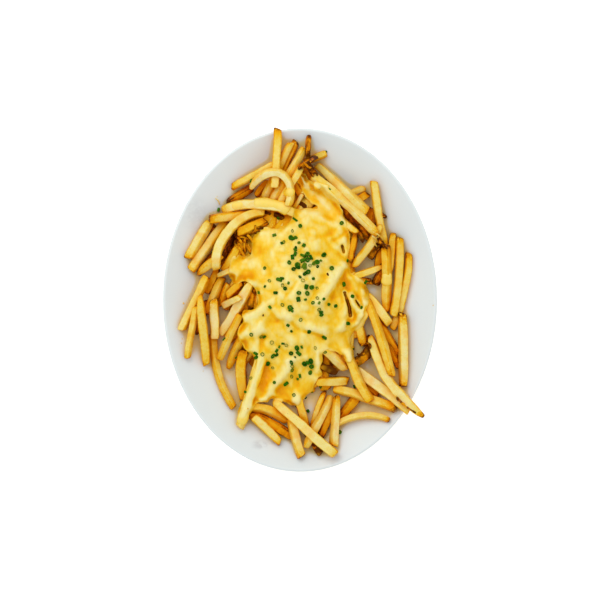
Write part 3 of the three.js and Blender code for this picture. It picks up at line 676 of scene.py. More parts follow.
def platter_inset(x, y):
    """How far inside the platter's edge points lie, with the insets even on both axes."""
    low = np.zeros_like(x)
    high = np.full_like(x, HALF_WIDTH - 1)
    for _ in range(INSET_HALVINGS):
        inset = (low + high) / 2
        inside = (x / (HALF_WIDTH - inset)) ** 2 + (y / (HALF_LENGTH - inset)) ** 2 < 1
        low = np.where(inside, inset, low)
        high = np.where(inside, high, inset)
    return low


def is_past_edge(x, y):
    return (x / HALF_WIDTH) ** 2 + (y / HALF_LENGTH) ** 2 >= 1


def platter_top(x, y):
    insets = [inset for inset, _ in reversed(TOP_PROFILE)]
    heights = [height for _, height in reversed(TOP_PROFILE)]
    top = np.interp(platter_inset(x, y), insets, heights)
    return np.where(is_past_edge(x, y), 0, top)


def rounded(profile, rounds):
    """An open profile with its corners cut again and again, and its two ends kept."""
    points = [np.array(point, float) for point in profile]
    for _ in range(rounds):
        cut = [points[0]]
        for before, after in zip(points, points[1:]):
            cut.append(before * (1 - CORNER_CUT) + after * CORNER_CUT)
            cut.append(before * CORNER_CUT + after * (1 - CORNER_CUT))
        cut.append(points[-1])
        points = cut
    return points


def platter_rings():
    """The platter's rings as (half width, half length, height), from the top's middle."""
    radii = np.linspace(WELL_INNER_RADIUS, FLAT_RADIUS, WELL_RINGS)
    inner = [(HALF_WIDTH - radius, WELL_FLOOR) for radius in radii]
    under = [(HALF_WIDTH - FLAT_RADIUS * share, FOOT_HEIGHT) for share in (1, 0.6, 0.1)]
    profile = inner + rounded(TOP_PROFILE + LIP_PROFILE + UNDER_PROFILE, PROFILE_ROUNDS) + under
    rings = []
    for inset, height in profile:
        radius = HALF_WIDTH - inset
        stretch = (HALF_LENGTH - HALF_WIDTH) * min(1, radius / FLAT_RADIUS)
        rings.append((radius, radius + stretch, height))
    return rings


def make_platter():
    rings = platter_rings()
    angles = circle_angles(PLATTER_SPOKES)
    points = [
        np.column_stack([wide * np.cos(angles), long * np.sin(angles), np.full_like(angles, z)])
        for wide, long, z in rings
    ]
    points.append(np.array([[0, 0, WELL_FLOOR], [0, 0, FOOT_HEIGHT]], float))
    pile = Pile()
    faces = tube_faces(len(rings), PLATTER_SPOKES)
    pile.add(np.vstack(points), [face[::-1] for face in faces])
    return pile.to_object("platter")


def set_oil_and_bounce(platter, ground, food):
    """Where the glaze is tinted warm close round the food: partly a thin oily film, partly painted
    bounce light from the fries.
    """
    film = food.copy()
    covered = food.heights > ground.heights + OIL_AND_BOUNCE_FOOD_HEIGHT
    film.heights = blurred(covered * 1.0, OIL_AND_BOUNCE_REACH / HEIGHT_CELL)
    x, y, _ = points_of(platter.data).T
    set_value(platter.data, "oil_and_bounce", film.smooth_at(x, y))


# ---- Heap core ----

def core_reach(x, y):
    """0 in the middle of the core and 1 at its edge."""
    across = np.abs((x - CORE_CENTRE[0]) / CORE_HALF_WIDTH) ** CORE_SQUARENESS
    along = np.abs((y - CORE_CENTRE[1]) / CORE_HALF_LENGTH) ** CORE_SQUARENESS
    return (across + along) ** (1 / CORE_SQUARENESS)


def core_top(x, y):
    reach = np.minimum(1, core_reach(x, y))
    mound = CORE_HEIGHT * (1 - reach ** CORE_PEAK) ** CORE_SLOPE
    first, second, third = CORE_WAVE_RUNS
    waves = CORE_WAVE * (1 - reach) * (np.sin(x / first) + np.cos(y / second + x / third))
    return platter_top(x, y) + CORE_EDGE_HEIGHT + mound + waves


def inner_core_top(x, y):
    """The scene's own smaller core, which reaches the platter at INNER_CORE_SHARE."""
    reach = core_reach(x, y) / INNER_CORE_SHARE
    fade = smooth_share((1 - reach) / INNER_CORE_FADE)
    lumps = Ripple(SEED + 5, INNER_CORE_LUMP_SIZE).at(flat_points(x, y)).reshape(x.shape)
    height = core_top(x, y) - INNER_CORE_DROP + INNER_CORE_LUMP * lumps
    ground = platter_top(x, y)
    return ground + GAP + (height - ground) * fade


def make_inner_core():
    angles = circle_angles(CORE_SPOKES)
    cos, sin = np.cos(angles), np.sin(angles)
    radii = INNER_CORE_SHARE / core_reach(CORE_CENTRE[0] + cos, CORE_CENTRE[1] + sin)
    sheets = []
    for heights in (inner_core_top, lambda x, y: platter_top(x, y) + GAP / 2):
        for ring in range(1, CORE_RINGS + 1):
            x = CORE_CENTRE[0] + cos * radii * ring / CORE_RINGS
            y = CORE_CENTRE[1] + sin * radii * ring / CORE_RINGS
            sheets.append(np.column_stack([x, y, heights(x, y)]))
    top = sheets[:CORE_RINGS]
    bottom = sheets[CORE_RINGS:][::-1]
    middle = np.array([[CORE_CENTRE[0]], [CORE_CENTRE[1]]], float)
    peak = inner_core_top(*middle)[0]
    base = platter_top(*middle)[0] + GAP / 2
    caps = np.array([[*CORE_CENTRE, peak], [*CORE_CENTRE, base]], float)
    pile = Pile()
    faces = [face[::-1] for face in tube_faces(2 * CORE_RINGS, CORE_SPOKES)]
    pile.add(np.vstack(top + bottom + [caps]), faces, tone=0.5, tip=0, edge=0)
    return pile.to_object("heap_core")


# ---- Height map: the top of the platter and of the food laid on it so far ----

class HeightMap:
    def __init__(self, height_at):
        self.columns = int(2 * HALF_WIDTH / HEIGHT_CELL) + 1
        self.rows = int(2 * HALF_LENGTH / HEIGHT_CELL) + 1
        x, y = np.meshgrid(
            np.arange(self.columns) * HEIGHT_CELL - HALF_WIDTH,
            np.arange(self.rows) * HEIGHT_CELL - HALF_LENGTH,
        )
        self.heights = height_at(x, y)

    def cells(self, x, y):
        """Places counted in columns and rows, between the cells too."""
        return (x + HALF_WIDTH) / HEIGHT_CELL, (y + HALF_LENGTH) / HEIGHT_CELL

    def places(self, x, y):
        """The row and column of the cell nearest to each place."""
        column, row = self.cells(x, y)
        column = np.clip(np.rint(column).astype(int), 0, self.columns - 1)
        row = np.clip(np.rint(row).astype(int), 0, self.rows - 1)
        return row, column

    def at(self, x, y):
        return self.heights[self.places(x, y)]

    def smooth_at(self, x, y):
        return between_cells(self.heights, *self.cells(x, y))

    def raise_to(self, x, y, heights):
        np.maximum.at(self.heights, self.places(x, y), heights)

    def copy(self):
        twin = HeightMap.__new__(HeightMap)
        twin.columns, twin.rows = self.columns, self.rows
        twin.heights = self.heights.copy()
        return twin


# ---- Fries ----

def plan_curve(start, end, bow, spacing):
    """Evenly spaced points and headings along a bowed curve, and its length."""
    start, end = np.array(start, float), np.array(end, float)
    chord = np.linalg.norm(end - start)
    forward = (end - start) / chord
    left = np.array([-forward[1], forward[0]])
    reach = max(0, chord - 1.3 * abs(bow)) / 3
    first = start + forward * reach + left * bow * 4 / 3
    second = end - forward * reach + left * bow * 4 / 3
    t = np.linspace(0, 1, CURVE_STEPS)[:, None]
    fine = (
        start * (1 - t) ** 3 + 3 * first * t * (1 - t) ** 2
        + 3 * second * t * t * (1 - t) + end * t ** 3
    )
    steps = np.linalg.norm(np.diff(fine, axis=0), axis=1)
    along = np.concatenate([[0], np.cumsum(steps)])
    length = along[-1]
    count = max(5, round(length / spacing) + 1)
    wanted = np.linspace(0, length, count)
    points = np.column_stack([np.interp(wanted, along, fine[:, axis]) for axis in (0, 1)])
    headings = np.gradient(points, axis=0)
    headings /= np.linalg.norm(headings, axis=1)[:, None]
    return points, headings, length


def taut_string(profile):
    """The points of a profile that a taut string laid over it would touch."""
    touched = []
    for point in profile:
        while len(touched) > 1:
            before, last = touched[-2:]
            rise = (last[1] - before[1]) * (point[0] - before[0])
            needed = (point[1] - before[1]) * (last[0] - before[0])
            if rise > needed:
                break
            touched.pop()
        touched.append(point)
    return np.array(touched)


def resting_underside(profile, length, wanted):
    """The underside of a fry that rests on two points round its middle and droops."""
    touched = taut_string(profile)

    def on_span(along):
        """The span at each place: the number of the point it starts from, and its slope."""
        after = np.clip(np.searchsorted(touched[:, 0], along), 1, len(touched) - 1)
        before = after - 1
        rise = touched[after, 1] - touched[before, 1]
        run = touched[after, 0] - touched[before, 0]
        return before, rise / run

    before, slope = on_span(np.array([length / 2]))
    stiff = touched[before, 1] + slope * (wanted - touched[before, 0])
    near, near_slope = on_span(wanted)
    limp = touched[near, 1] + near_slope * (wanted - touched[near, 0])
    return stiff + (limp - stiff) * FRY_LIMPNESS


class Fry:
    """One fry on its way over the heap: its plan, its underside and its colours."""

    def __init__(self, row, ground, food, sink=FRY_SINK):
        self.start, self.end = (row[0], row[1]), (row[2], row[3])
        self.width, self.bow = row[4], row[5]
        self.tone, self.tips = (row[6], row[7:9]) if len(row) > 6 else (0.1, (0, 0))
        self.thickness = self.width * FRY_FLATNESS
        self.points, self.headings, self.length = plan_curve(
            self.start, self.end, self.bow, HEIGHT_CELL,
        )
        self.along = np.linspace(0, self.length, len(self.points))
        self.underside = self.settle(ground, food, sink)

    def left(self):
        return np.column_stack([-self.headings[:, 1], self.headings[:, 0]])

    def settle(self, ground, food, sink):
        support = np.zeros(len(self.points))
        for side in (-FRY_CARRIED_WIDTH, 0, FRY_CARRIED_WIDTH):
            x, y = (self.points + self.left() * side * self.width).T
            firm = ground.at(x, y) + GAP
            soft = food.at(x, y) - sink * self.width
            support = np.maximum(support, np.maximum(firm, soft))
        inside = ~is_past_edge(*self.points.T)
        profile = list(zip(self.along[inside], support[inside]))
        return resting_underside(profile, self.length, self.along)

    def mark(self, food):
        """Raises the map to this fry's top."""
        fine = np.linspace(0, self.length, len(self.points) * 3)
        points = np.column_stack([np.interp(fine, self.along, p) for p in self.points.T])
        left = np.column_stack([np.interp(fine, self.along, p) for p in self.left().T])
        top = np.interp(fine, self.along, self.underside) + self.thickness
        for side in np.linspace(-0.5, 0.5, 23):
            x, y = (points + left * side * self.width).T
            share = (1 - abs(2 * side) ** FRY_SECTION_POWER) ** (1 / FRY_SECTION_POWER)
            food.raise_to(x, y, top - self.thickness * 0.5 * (1 - share))


def end_scale(distance, run, scale):
    """The size of a section at a distance from an end that narrows over a run."""
    share = np.clip(distance / run, 0, 1)
    body = scale + (1 - scale) * np.sqrt(1 - (1 - share) ** 2)
    nose = np.clip(distance / 1.0, 0, 1)
    return body * (0.66 + 0.34 * np.sqrt(1 - (1 - nose) ** 2))


def ring_places(length, step):
    """Where a fry's rings stand, closer together at its two ends."""
    ends = np.array([0, 0.22, 0.55, 1.0])
    count = max(3, round((length - 4) / step))
    middle = np.linspace(2, length - 2, count)
    return np.concatenate([ends, middle, length - ends[::-1]])


def fry_section(draw, corner_points):
    """An unevenly cut square section: its points, how near a corner and which face."""
    rounding = draw.uniform(*SECTION_ROUNDINGS)
    points = []
    cornerness = []
    face_tones = []
    tones = [draw.uniform(*FACE_TONES) for _ in range(4)]
    for corner in range(4):
        middle = HALF_TURN / 4 + corner * HALF_TURN / 2
        reach = 1 - rounding + draw.uniform(*CORNER_DRIFTS)
        centre = np.sign([math.cos(middle), math.sin(middle)]) * reach
        for turn in np.linspace(-1, 1, corner_points):
            angle = middle + turn * HALF_TURN / 4
            points.append(centre + rounding * np.array([math.cos(angle), math.sin(angle)]))
            cornerness.append(1 - 0.5 * turn * turn)
            face_tones.append(tones[corner if turn < 0 else (corner + 1) % 4])
        face = middle + HALF_TURN / 4
        dent = draw.uniform(*FACE_DENTS)
        points.append(dent * np.array([math.cos(face), math.sin(face)]))
        cornerness.append(0)
        face_tones.append(tones[(corner + 1) % 4])
    return np.array(points), np.array(cornerness), np.array(face_tones), rounding


def rolled(section, roll, rounding):
    """The section turned by each roll, and no wider for it."""
    across = np.outer(np.cos(roll), section[:, 0]) - np.outer(np.sin(roll), section[:, 1])
    upward = np.outer(np.sin(roll), section[:, 0]) + np.outer(np.cos(roll), section[:, 1])
    spread = (1 - rounding) * (np.abs(np.cos(roll)) + np.abs(np.sin(roll))) + rounding
    return across / spread[:, None], upward / spread[:, None]


def frames_along(centres, along):
    """The forward, right and upward directions at each point of a way."""
    forward = np.gradient(centres, along, axis=0)
    forward /= np.linalg.norm(forward, axis=1)[:, None]
    right = np.cross(forward, (0, 0, 1))
    right /= np.linalg.norm(right, axis=1)[:, None]
    return forward, right, np.cross(right, forward)


def swept(centres, right, above, x, y):
    """A section's points on each point of a way: x to the right of it and y above it."""
    return (
        centres[:, None, :] + right[:, None, :] * x[:, :, None] + above[:, None, :] * y[:, :, None]
    )


def fry_sizes(fry, along, draw):
    """The size of the section along a fry: tapered, with narrower or pointed ends."""
    scale = FRY_FULLNESS
    for end, distance in ((fry.start, along), (fry.end, fry.length - along)):
        slimmer = draw.uniform(*END_SLIMMINGS)
        scale = scale * (1 - slimmer * np.clip(1 - 2 * distance / fry.length, 0, 1) ** 1.5)
        pointed = end in POINTED_ENDS
        run = POINTED_ENDS[end] if pointed else draw.uniform(*BLUNT_RUNS)
        tip = draw.uniform(*(POINTED_TIPS if pointed else BLUNT_TIPS))
        scale = scale * end_scale(distance, run, tip)
    return scale


def fry_tips(fry, along, draw):
    """How browned a fry is along its way, by its two ends."""
    reaches = [draw.uniform(*BROWN_REACHES) for _ in range(2)]
    return np.maximum(
        fry.tips[0] * np.exp(-along / reaches[0]),
        fry.tips[1] * np.exp(-(fry.length - along) / reaches[1]),
    )


def add_fry(pile, fry, draw, corner_points, step):
    """Sweeps an uneven square section along the fry and roughens it."""
    crisp = min(1, max(0, (fry.tone - CRISP_TONE) / CRISP_SPAN))
    along = ring_places(fry.length, step)
    middles = np.column_stack([np.interp(along, fry.along, p) for p in fry.points.T])
    height = np.interp(along, fry.along, fry.underside) + fry.thickness / 2
    centres = np.column_stack([middles, height])
    forward, right, above = frames_along(centres, along)
    sway = drawn_ripple(draw, 45).at(centres)
    centres = centres + right * sway[:, None] * FRY_SWAY

    section, cornerness, face_tones, rounding = fry_section(draw, corner_points)
    around = len(section)
    roll = draw.uniform(-FRY_ROLL, FRY_ROLL) + np.linspace(0, draw.uniform(*TWISTS), len(along))
    across, upward = rolled(section, roll, rounding)
    ripple = drawn_ripple(draw, 24)
    size = fry_sizes(fry, along, draw)
    half_width = fry.width / 2 * size * (1 + 0.06 * ripple.at(centres) - 0.12 * crisp)
    half_thickness = fry.thickness / 2 * size * (1 + 0.05 * ripple.at(centres + 50))
    slopes = [draw.uniform(*END_SLANTS) for _ in range(2)]
    lean = (
        slopes[0] * np.clip(1 - along / 5, 0, 1)
        + slopes[1] * np.clip(1 - (fry.length - along) / 5, 0, 1)
    )
    x = across * half_width[:, None]
    y = upward * half_thickness[:, None]
    slanted = forward[:, None, :] * (lean[:, None] * x)[:, :, None]
    points = (swept(centres, right, above, x, y) + slanted).reshape(-1, 3)
    outward = right[:, None, :] * across[:, :, None] + above[:, None, :] * upward[:, :, None]
    bumps = drawn_ripple(draw, 9).at(points) * (0.12 + 0.4 * crisp)
    grain = drawn_ripple(draw, 2.8).at(points) * (0.03 + 0.2 * crisp)
    points = points + outward.reshape(-1, 3) * (bumps + grain)[:, None]
    bulge = draw.uniform(*END_BULGES)
    caps = np.array([
        points[:around].mean(axis=0) - forward[0] * bulge,
        points[-around:].mean(axis=0) + forward[-1] * bulge,
    ])

    tips = fry_tips(fry, along, draw) * (1 - 0.6 * crisp)
    mottling = drawn_ripple(draw, 5).at(points) * 0.22 * crisp
    drift = draw.uniform(*TONE_DRIFTS) * (along / fry.length - 0.5)
    tone = fry.tone - 0.12 * crisp + np.repeat(drift, around) + mottling
    tone = tone + np.tile(face_tones, len(along))
    edge = np.tile(cornerness, len(along)) * (1 - 0.7 * crisp)
    pile.add(
        np.vstack([points, caps]), tube_faces(len(along), around),
        tone=np.concatenate([tone, [fry.tone + 0.15, fry.tone + 0.15]]),
        tip=np.concatenate([np.repeat(tips, around), [tips[0], tips[-1]]]),
        edge=np.concatenate([edge, [0, 0]]),
    )


def hidden_rows(draw):
    """Random fries over the core, clear of where the platter shows through."""
    rows = []
    for cx, cy, half_x, half_y, heading, spread, count in HIDDEN_PATCHES:
        made = tries = 0
        while made < count and tries < count * HIDDEN_TRIES:
            tries += 1
            angle = draw.uniform(0, 2 * HALF_TURN)
            reach = math.sqrt(draw.random())
            x = cx + half_x * reach * math.cos(angle)
            y = cy + half_y * reach * math.sin(angle)
            way = math.radians(heading + draw.uniform(-spread, spread))
            half = draw.uniform(*HIDDEN_HALF_LENGTHS)
            run = (math.cos(way) * half, math.sin(way) * half)
            row = (
                x - run[0], y - run[1], x + run[0], y + run[1], draw.uniform(*HIDDEN_WIDTHS),
                draw.uniform(*HIDDEN_BOWS), draw.uniform(*HIDDEN_TONES), HIDDEN_TIP, HIDDEN_TIP,
            )
            if stays_on_core(row):
                rows.append(row)
                made += 1
    return rows


def stays_on_core(row):
    """True for a fry that keeps inside the core's edge and off the places in SHOW_THROUGH."""
    points, _, _ = plan_curve(row[:2], row[2:4], row[5], 4)
    if core_reach(*points.T).max() > HIDDEN_REACH:
        return False
    for x, y, radius in SHOW_THROUGH:
        if np.hypot(points[:, 0] - x, points[:, 1] - y).min() < radius + SHOW_THROUGH_MARGIN:
            return False
    return True


def set_gap_shade(obj, food):
    """How deep each point lies below the food round it, 0 on top and 1 deep in a gap: the materials
    paint shade by it.
    """
    crowd = food.copy()
    crowd.heights = blurred(food.heights, BURIAL_REACH / HEIGHT_CELL)
    x, y, z = points_of(obj.data).T
    below = crowd.smooth_at(x, y) - z + BURIAL_RISE
    set_value(obj.data, "gap_shade", smooth_share(below / BURIAL_DEPTH))


def lay_hidden_fries(ground, draw):
    """Fries just under the top of the core, which close the gaps between the shown ones."""
    def bed(x, y):
        return np.maximum(platter_top(x, y), core_top(x, y) - HIDDEN_BED_DROP)

    lowered = HeightMap(bed)
    fries = []
    for row in hidden_rows(draw):
        fry = Fry(row, ground, lowered, sink=HIDDEN_FRY_SINK)
        x, y = fry.points.T
        highest = core_top(x, y) - HIDDEN_FRY_DEPTH * fry.thickness
        fry.underside = np.maximum(ground.at(x, y) + GAP, np.minimum(fry.underside, highest))
        fry.mark(lowered)
        fries.append(fry)
    return fries


# ---- Sauce ----

def closed_curve(corners, spacing):
    """A smooth closed curve through the corners, as evenly spaced points."""
    corners = np.array(corners, float)
    fine = []
    for i in range(len(corners)):
        a, b, c, d = (corners[(i + k) % len(corners)] for k in (-1, 0, 1, 2))
        t = np.linspace(0, 1, 12, endpoint=False)[:, None]
        fine.append(0.5 * (
            2 * b + (c - a) * t + (2 * a - 5 * b + 4 * c - d) * t ** 2
            + (3 * b - a - 3 * c + d) * t ** 3
        ))
    fine = np.vstack(fine + [fine[0][:1]])
    along = np.concatenate([[0], np.cumsum(np.linalg.norm(np.diff(fine, axis=0), axis=1))])
    wanted = np.arange(0, along[-1], spacing)
    return np.column_stack([np.interp(wanted, along, fine[:, k]) for k in (0, 1)])


def segment_distance(x, y, start, end):
    run = np.subtract(end, start)
    along = ((x - start[0]) * run[0] + (y - start[1]) * run[1]) / max(run @ run, 1e-9)
    share = np.clip(along, 0, 1)
    return np.hypot(x - start[0] - share * run[0], y - start[1] - share * run[1])


def chain_distance(x, y, starts, ends):
    """The distance from points to the nearest of some segments."""
    nearest = np.full(x.shape, FAR_AWAY)
    for start, end in zip(starts, ends):
        nearest = np.minimum(nearest, segment_distance(x, y, start, end))
    return nearest


def path_distance(x, y, start, end, bow):
    """The distance from points to a bowed line."""
    points, _, _ = plan_curve(start, end, bow, 4)
    return chain_distance(x, y, points, points[1:])


def is_inside(x, y, outline):
    """True where a point lies inside a closed outline, by counting crossings."""
    inside = np.zeros(x.shape, bool)
    for (ax, ay), (bx, by) in zip(outline, np.roll(outline, -1, axis=0)):
        if ay == by:
            continue
        crosses = ((ay > y) != (by > y)) & (x < (bx - ax) * (y - ay) / (by - ay) + ax)
        inside ^= crosses
    return inside


def blurred(field, radius):
    """A field smoothed by three passes of a running mean."""
    size = max(1, round(radius))
    for _ in range(3):
        for axis in (0, 1):
            pad = [(0, 0), (0, 0)]
            pad[axis] = (size + 1, size)
            total = np.cumsum(np.pad(field, pad, mode="edge"), axis=axis)
            high = [slice(None)] * 2
            low = [slice(None)] * 2
            high[axis] = slice(2 * size + 1, None)
            low[axis] = slice(0, -(2 * size + 1))
            field = (total[tuple(high)] - total[tuple(low)]) / (2 * size + 1)
    return field


def closed_over(field, reach, curve):
    """Fills hollows narrower than a ball of that reach, as a thick liquid does."""
    def highest(values, sign):
        best = np.full(values.shape, -FAR_AWAY)
        padded = np.pad(values, reach, mode="edge")
        rows, columns = values.shape
        for dy in range(-reach, reach + 1):
            for dx in range(-reach, reach + 1):
                if dx * dx + dy * dy > reach * reach:
                    continue
                drop = (dx * dx + dy * dy) * curve
                part = padded[reach + dy:reach + dy + rows, reach + dx:reach + dx + columns]
                best = np.maximum(best, sign * part - drop)
        return best
    return -highest(highest(field, 1), -1)


class Sauce:
    """The blanket of sauce as fields over a square grid round its outline."""

    def __init__(self, food):
        self.outline = closed_curve(SAUCE_EDGE, SAUCE_EDGE_STEP)
        low = self.outline.min(axis=0) - SAUCE_MARGIN
        high = self.outline.max(axis=0) + SAUCE_MARGIN
        self.low = low
        columns, rows = np.ceil((high - low) / SAUCE_CELL).astype(int)
        self.x, self.y = np.meshgrid(
            low[0] + np.arange(columns) * SAUCE_CELL, low[1] + np.arange(rows) * SAUCE_CELL,
        )
        self.depth = self.signed_depth(self.x, self.y)
        self.top, self.under, self.hollow = self.surfaces(food)

    def signed_depth(self, x, y):
        """How far inside the sauce a point lies, below 0 outside it."""
        nearest = chain_distance(x, y, self.outline, np.roll(self.outline, -1, axis=0))
        depth = np.where(is_inside(x, y, self.outline), nearest, -nearest)
        wobble = Ripple(SEED + 31, SAUCE_EDGE_WOBBLE_SIZE).at(flat_points(x, y))
        depth = depth + SAUCE_EDGE_WOBBLE * wobble.reshape(x.shape)
        for ax, ay, bx, by, half in SAUCE_SLITS:
            depth = np.minimum(depth, segment_distance(x, y, (ax, ay), (bx, by)) - half)
        return depth

    def surfaces(self, food):
        """The sauce's top and underside, and how hollow its top is at each place, with painted shade
        and light added, for the sauce's colour.
        """
        field = food.smooth_at(self.x, self.y)
        curve = 0.5 * SAUCE_CELL ** 2 / SAUCE_BALL_RADIUS
        closed = closed_over(field, round(SAUCE_REACH / SAUCE_CELL), curve)
        soft = blurred(np.maximum(field, closed), SOFT_BLUR / SAUCE_CELL)
        near = blurred(field, EDGE_BLUR / SAUCE_CELL)
        inwards = smooth_share(self.depth / SAUCE_INWARD_RUN)
        base = near + (soft - near) * inwards
        share = np.clip(self.depth / SAUCE_EDGE_RUN, 0, 1)
        swell = np.sqrt(1 - (1 - share) ** 2)
        flow = Ripple(SEED + 40, SAUCE_FLOW_SIZE).at(flat_points(self.x, self.y))
        swing = SAUCE_FLOW * flow.reshape(self.x.shape)
        body = SAUCE_THICKNESS * (1 + swing) + self.folds() + self.creases()
        top = base + SAUCE_EDGE_THICKNESS + body * swell
        under = np.minimum(top - 1.2, np.maximum(base - 1.4, top - SAUCE_SHEET - 2))
        full = base + body
        broad = (blurred(full, BROAD_BLUR / SAUCE_CELL) - full) / BROAD_DEPTH
        fine = (blurred(full, FINE_BLUR / SAUCE_CELL) - full) / FINE_DEPTH
        inner = smooth_share(self.depth / 3)
        hollow = broad * HOLLOW_WEIGHT + fine * HOLLOW_WEIGHT + self.shade_and_light_tints()
        hollow = np.clip(hollow, *HOLLOW_LIMITS)
        return top, under, hollow * inner + COAT_HOLLOW * (1 - inner)

    def folds(self):
        relief = np.zeros(self.x.shape)
        for ax, ay, bx, by, width, bow, height in SAUCE_FOLDS:
            distance = path_distance(self.x, self.y, (ax, ay), (bx, by), bow)
            relief += height * np.exp(-(distance / (width * 0.5)) ** FOLD_SHARPNESS)
        return relief

    def shade_and_light_tints(self):
        """More amber above 0 and paler and creamier below 0: partly painted shade and painted light,
        partly the sauce's own uneven colour.
        """
        tint = np.zeros(self.x.shape)
        for x, y, radius, amber in SAUCE_SHADE_AND_LIGHT_TINTS:
            tint += amber * np.exp(-((self.x - x) ** 2 + (self.y - y) ** 2) / radius ** 2)
        return tint

    def creases(self):
        """Soft pillows with sharp valleys between them, as a thick skin makes as it sinks."""
        relief = np.zeros(self.x.shape)
        for seed, size, height in SAUCE_CREASES:
            swing = Ripple(seed, size).at(flat_points(self.x, self.y) * CREASE_STRETCH)
            relief += height * (np.abs(swing).reshape(self.x.shape) ** 0.8 - 0.5)
        return relief

    def sample(self, field, x, y):
        """One of the sauce's fields at places in millimetres."""
        column, row = (x - self.low[0]) / SAUCE_CELL, (y - self.low[1]) / SAUCE_CELL
        return between_cells(field, column, row)

    def blanket(self):
        """The closed blanket: its outer vertices are drawn to the outline itself."""
        rows, columns = self.x.shape
        middle = (
            self.depth[:-1, :-1] + self.depth[1:, :-1] + self.depth[:-1, 1:] + self.depth[1:, 1:]
        ) / 4
        kept = middle > 0
        uses = np.zeros((rows, columns), int)
        for dy in (0, 1):
            for dx in (0, 1):
                uses[dy:rows - 1 + dy, dx:columns - 1 + dx] += kept
        slope_y, slope_x = np.gradient(self.depth, SAUCE_CELL)
        border = (uses > 0) & (uses < 4)
        pull = np.where(border, np.clip(self.depth, -1, 1), 0)
        x = self.x - pull * slope_x
        y = self.y - pull * slope_y
        top, under = self.sample(self.top, x, y), self.sample(self.under, x, y)
        number = np.full((rows, columns), -1)
        used = uses > 0
        count = int(used.sum())
        number[used] = np.arange(count)
        points = np.vstack([
            np.column_stack([x[used], y[used], top[used]]),
            np.column_stack([x[used], y[used], under[used]]),
        ])
        faces = []
        for r, c in np.argwhere(kept):
            a, b = number[r, c], number[r, c + 1]
            d, e = number[r + 1, c + 1], number[r + 1, c]
            faces.append((a, b, d, e))
            faces.append((count + e, count + d, count + b, count + a))
            for side, (p, q) in (((r - 1, c), (a, b)), ((r, c + 1), (b, d)),
                                 ((r + 1, c), (d, e)), ((r, c - 1), (e, a))):
                if not kept[side]:
                    faces.append((q, p, count + p, count + q))
        return points, faces


def add_coat(pile, row, food, draw):
    """A thick coat of sauce round one fry, with uneven rounded ends."""
    ax, ay, bx, by, width, bow = row
    points, _, length = plan_curve((ax, ay), (bx, by), bow, 1.0)
    along = np.linspace(0, length, len(points))
    top = np.convolve(np.pad(food.at(*points.T), 3, mode="edge"), np.ones(7) / 7, "valid")
    thickness = width * COAT_FLATNESS
    centres = np.column_stack([points, top + COAT_RISE - thickness / 2])
    _, right, above = frames_along(centres, along)
    phi = circle_angles(COAT_SIDES)
    nose = np.minimum(along, length - along)
    scale = np.sqrt(1 - (1 - np.clip(nose / COAT_NOSE, 0.04, 1)) ** 2)
    scale = scale * (1 + 0.12 * drawn_ripple(draw, 9).at(centres))
    x = np.outer(scale, np.cos(phi)) * width / 2
    y = np.outer(scale, np.sin(phi)) * thickness / 2
    rings = swept(centres, right, above, x, y).reshape(-1, 3)
    caps = np.array([centres[0], centres[-1]])
    pile.add(np.vstack([rings, caps]), tube_faces(len(points), COAT_SIDES))


def remeshed(obj, voxel, smoothing):
    """The object's closed forms fused into one even mesh, then smoothed."""
    fuse = obj.modifiers.new("fuse", "REMESH")
    fuse.mode = "VOXEL"
    fuse.voxel_size = voxel * MM
    soften = obj.modifiers.new("soften", "SMOOTH")
    soften.factor = 0.5
    soften.iterations = smoothing
    graph = bpy.context.evaluated_depsgraph_get()
    mesh = bpy.data.meshes.new_from_object(obj.evaluated_get(graph))
    obj.modifiers.clear()
    obj.data = mesh
    mesh.shade_smooth()
    return obj


def make_sauce(sauce, food, draw):
    pile = Pile()
    pile.add(*sauce.blanket())
    for row in SAUCE_COATS:
        add_coat(pile, row, food, draw)
    obj = remeshed(pile.to_object("sauce_blanket"), SAUCE_VOXEL, SAUCE_SMOOTHING)
    x, y, _ = points_of(obj.data).T
    set_value(obj.data, "hollow", sauce.sample(sauce.hollow, x, y))
    return obj


def set_film(obj, sauce):
    """Where a fry near the sauce's edge wears a thin film of it."""
    x, y, _ = points_of(obj.data).T
    set_value(obj.data, "film", smooth_share(1 + sauce.sample(sauce.depth, x, y) / FILM_REACH))


# ---- Chives, crisp bits and crumbs ----

class Surface:
    """Finds the highest point of some objects under a place, and the slope there."""

    def __init__(self, objects):
        graph = bpy.context.evaluated_depsgraph_get()
        self.trees = [BVHTree.FromObject(obj, graph) for obj in objects]

    def under(self, x, y):
        best = None
        for tree in self.trees:
            place, normal, _, _ = tree.ray_cast(Vector((x * MM, y * MM, 0.2)), Vector((0, 0, -1)))
            if place is not None and (best is None or place.z > best[0].z):
                best = (place, normal)
        return best


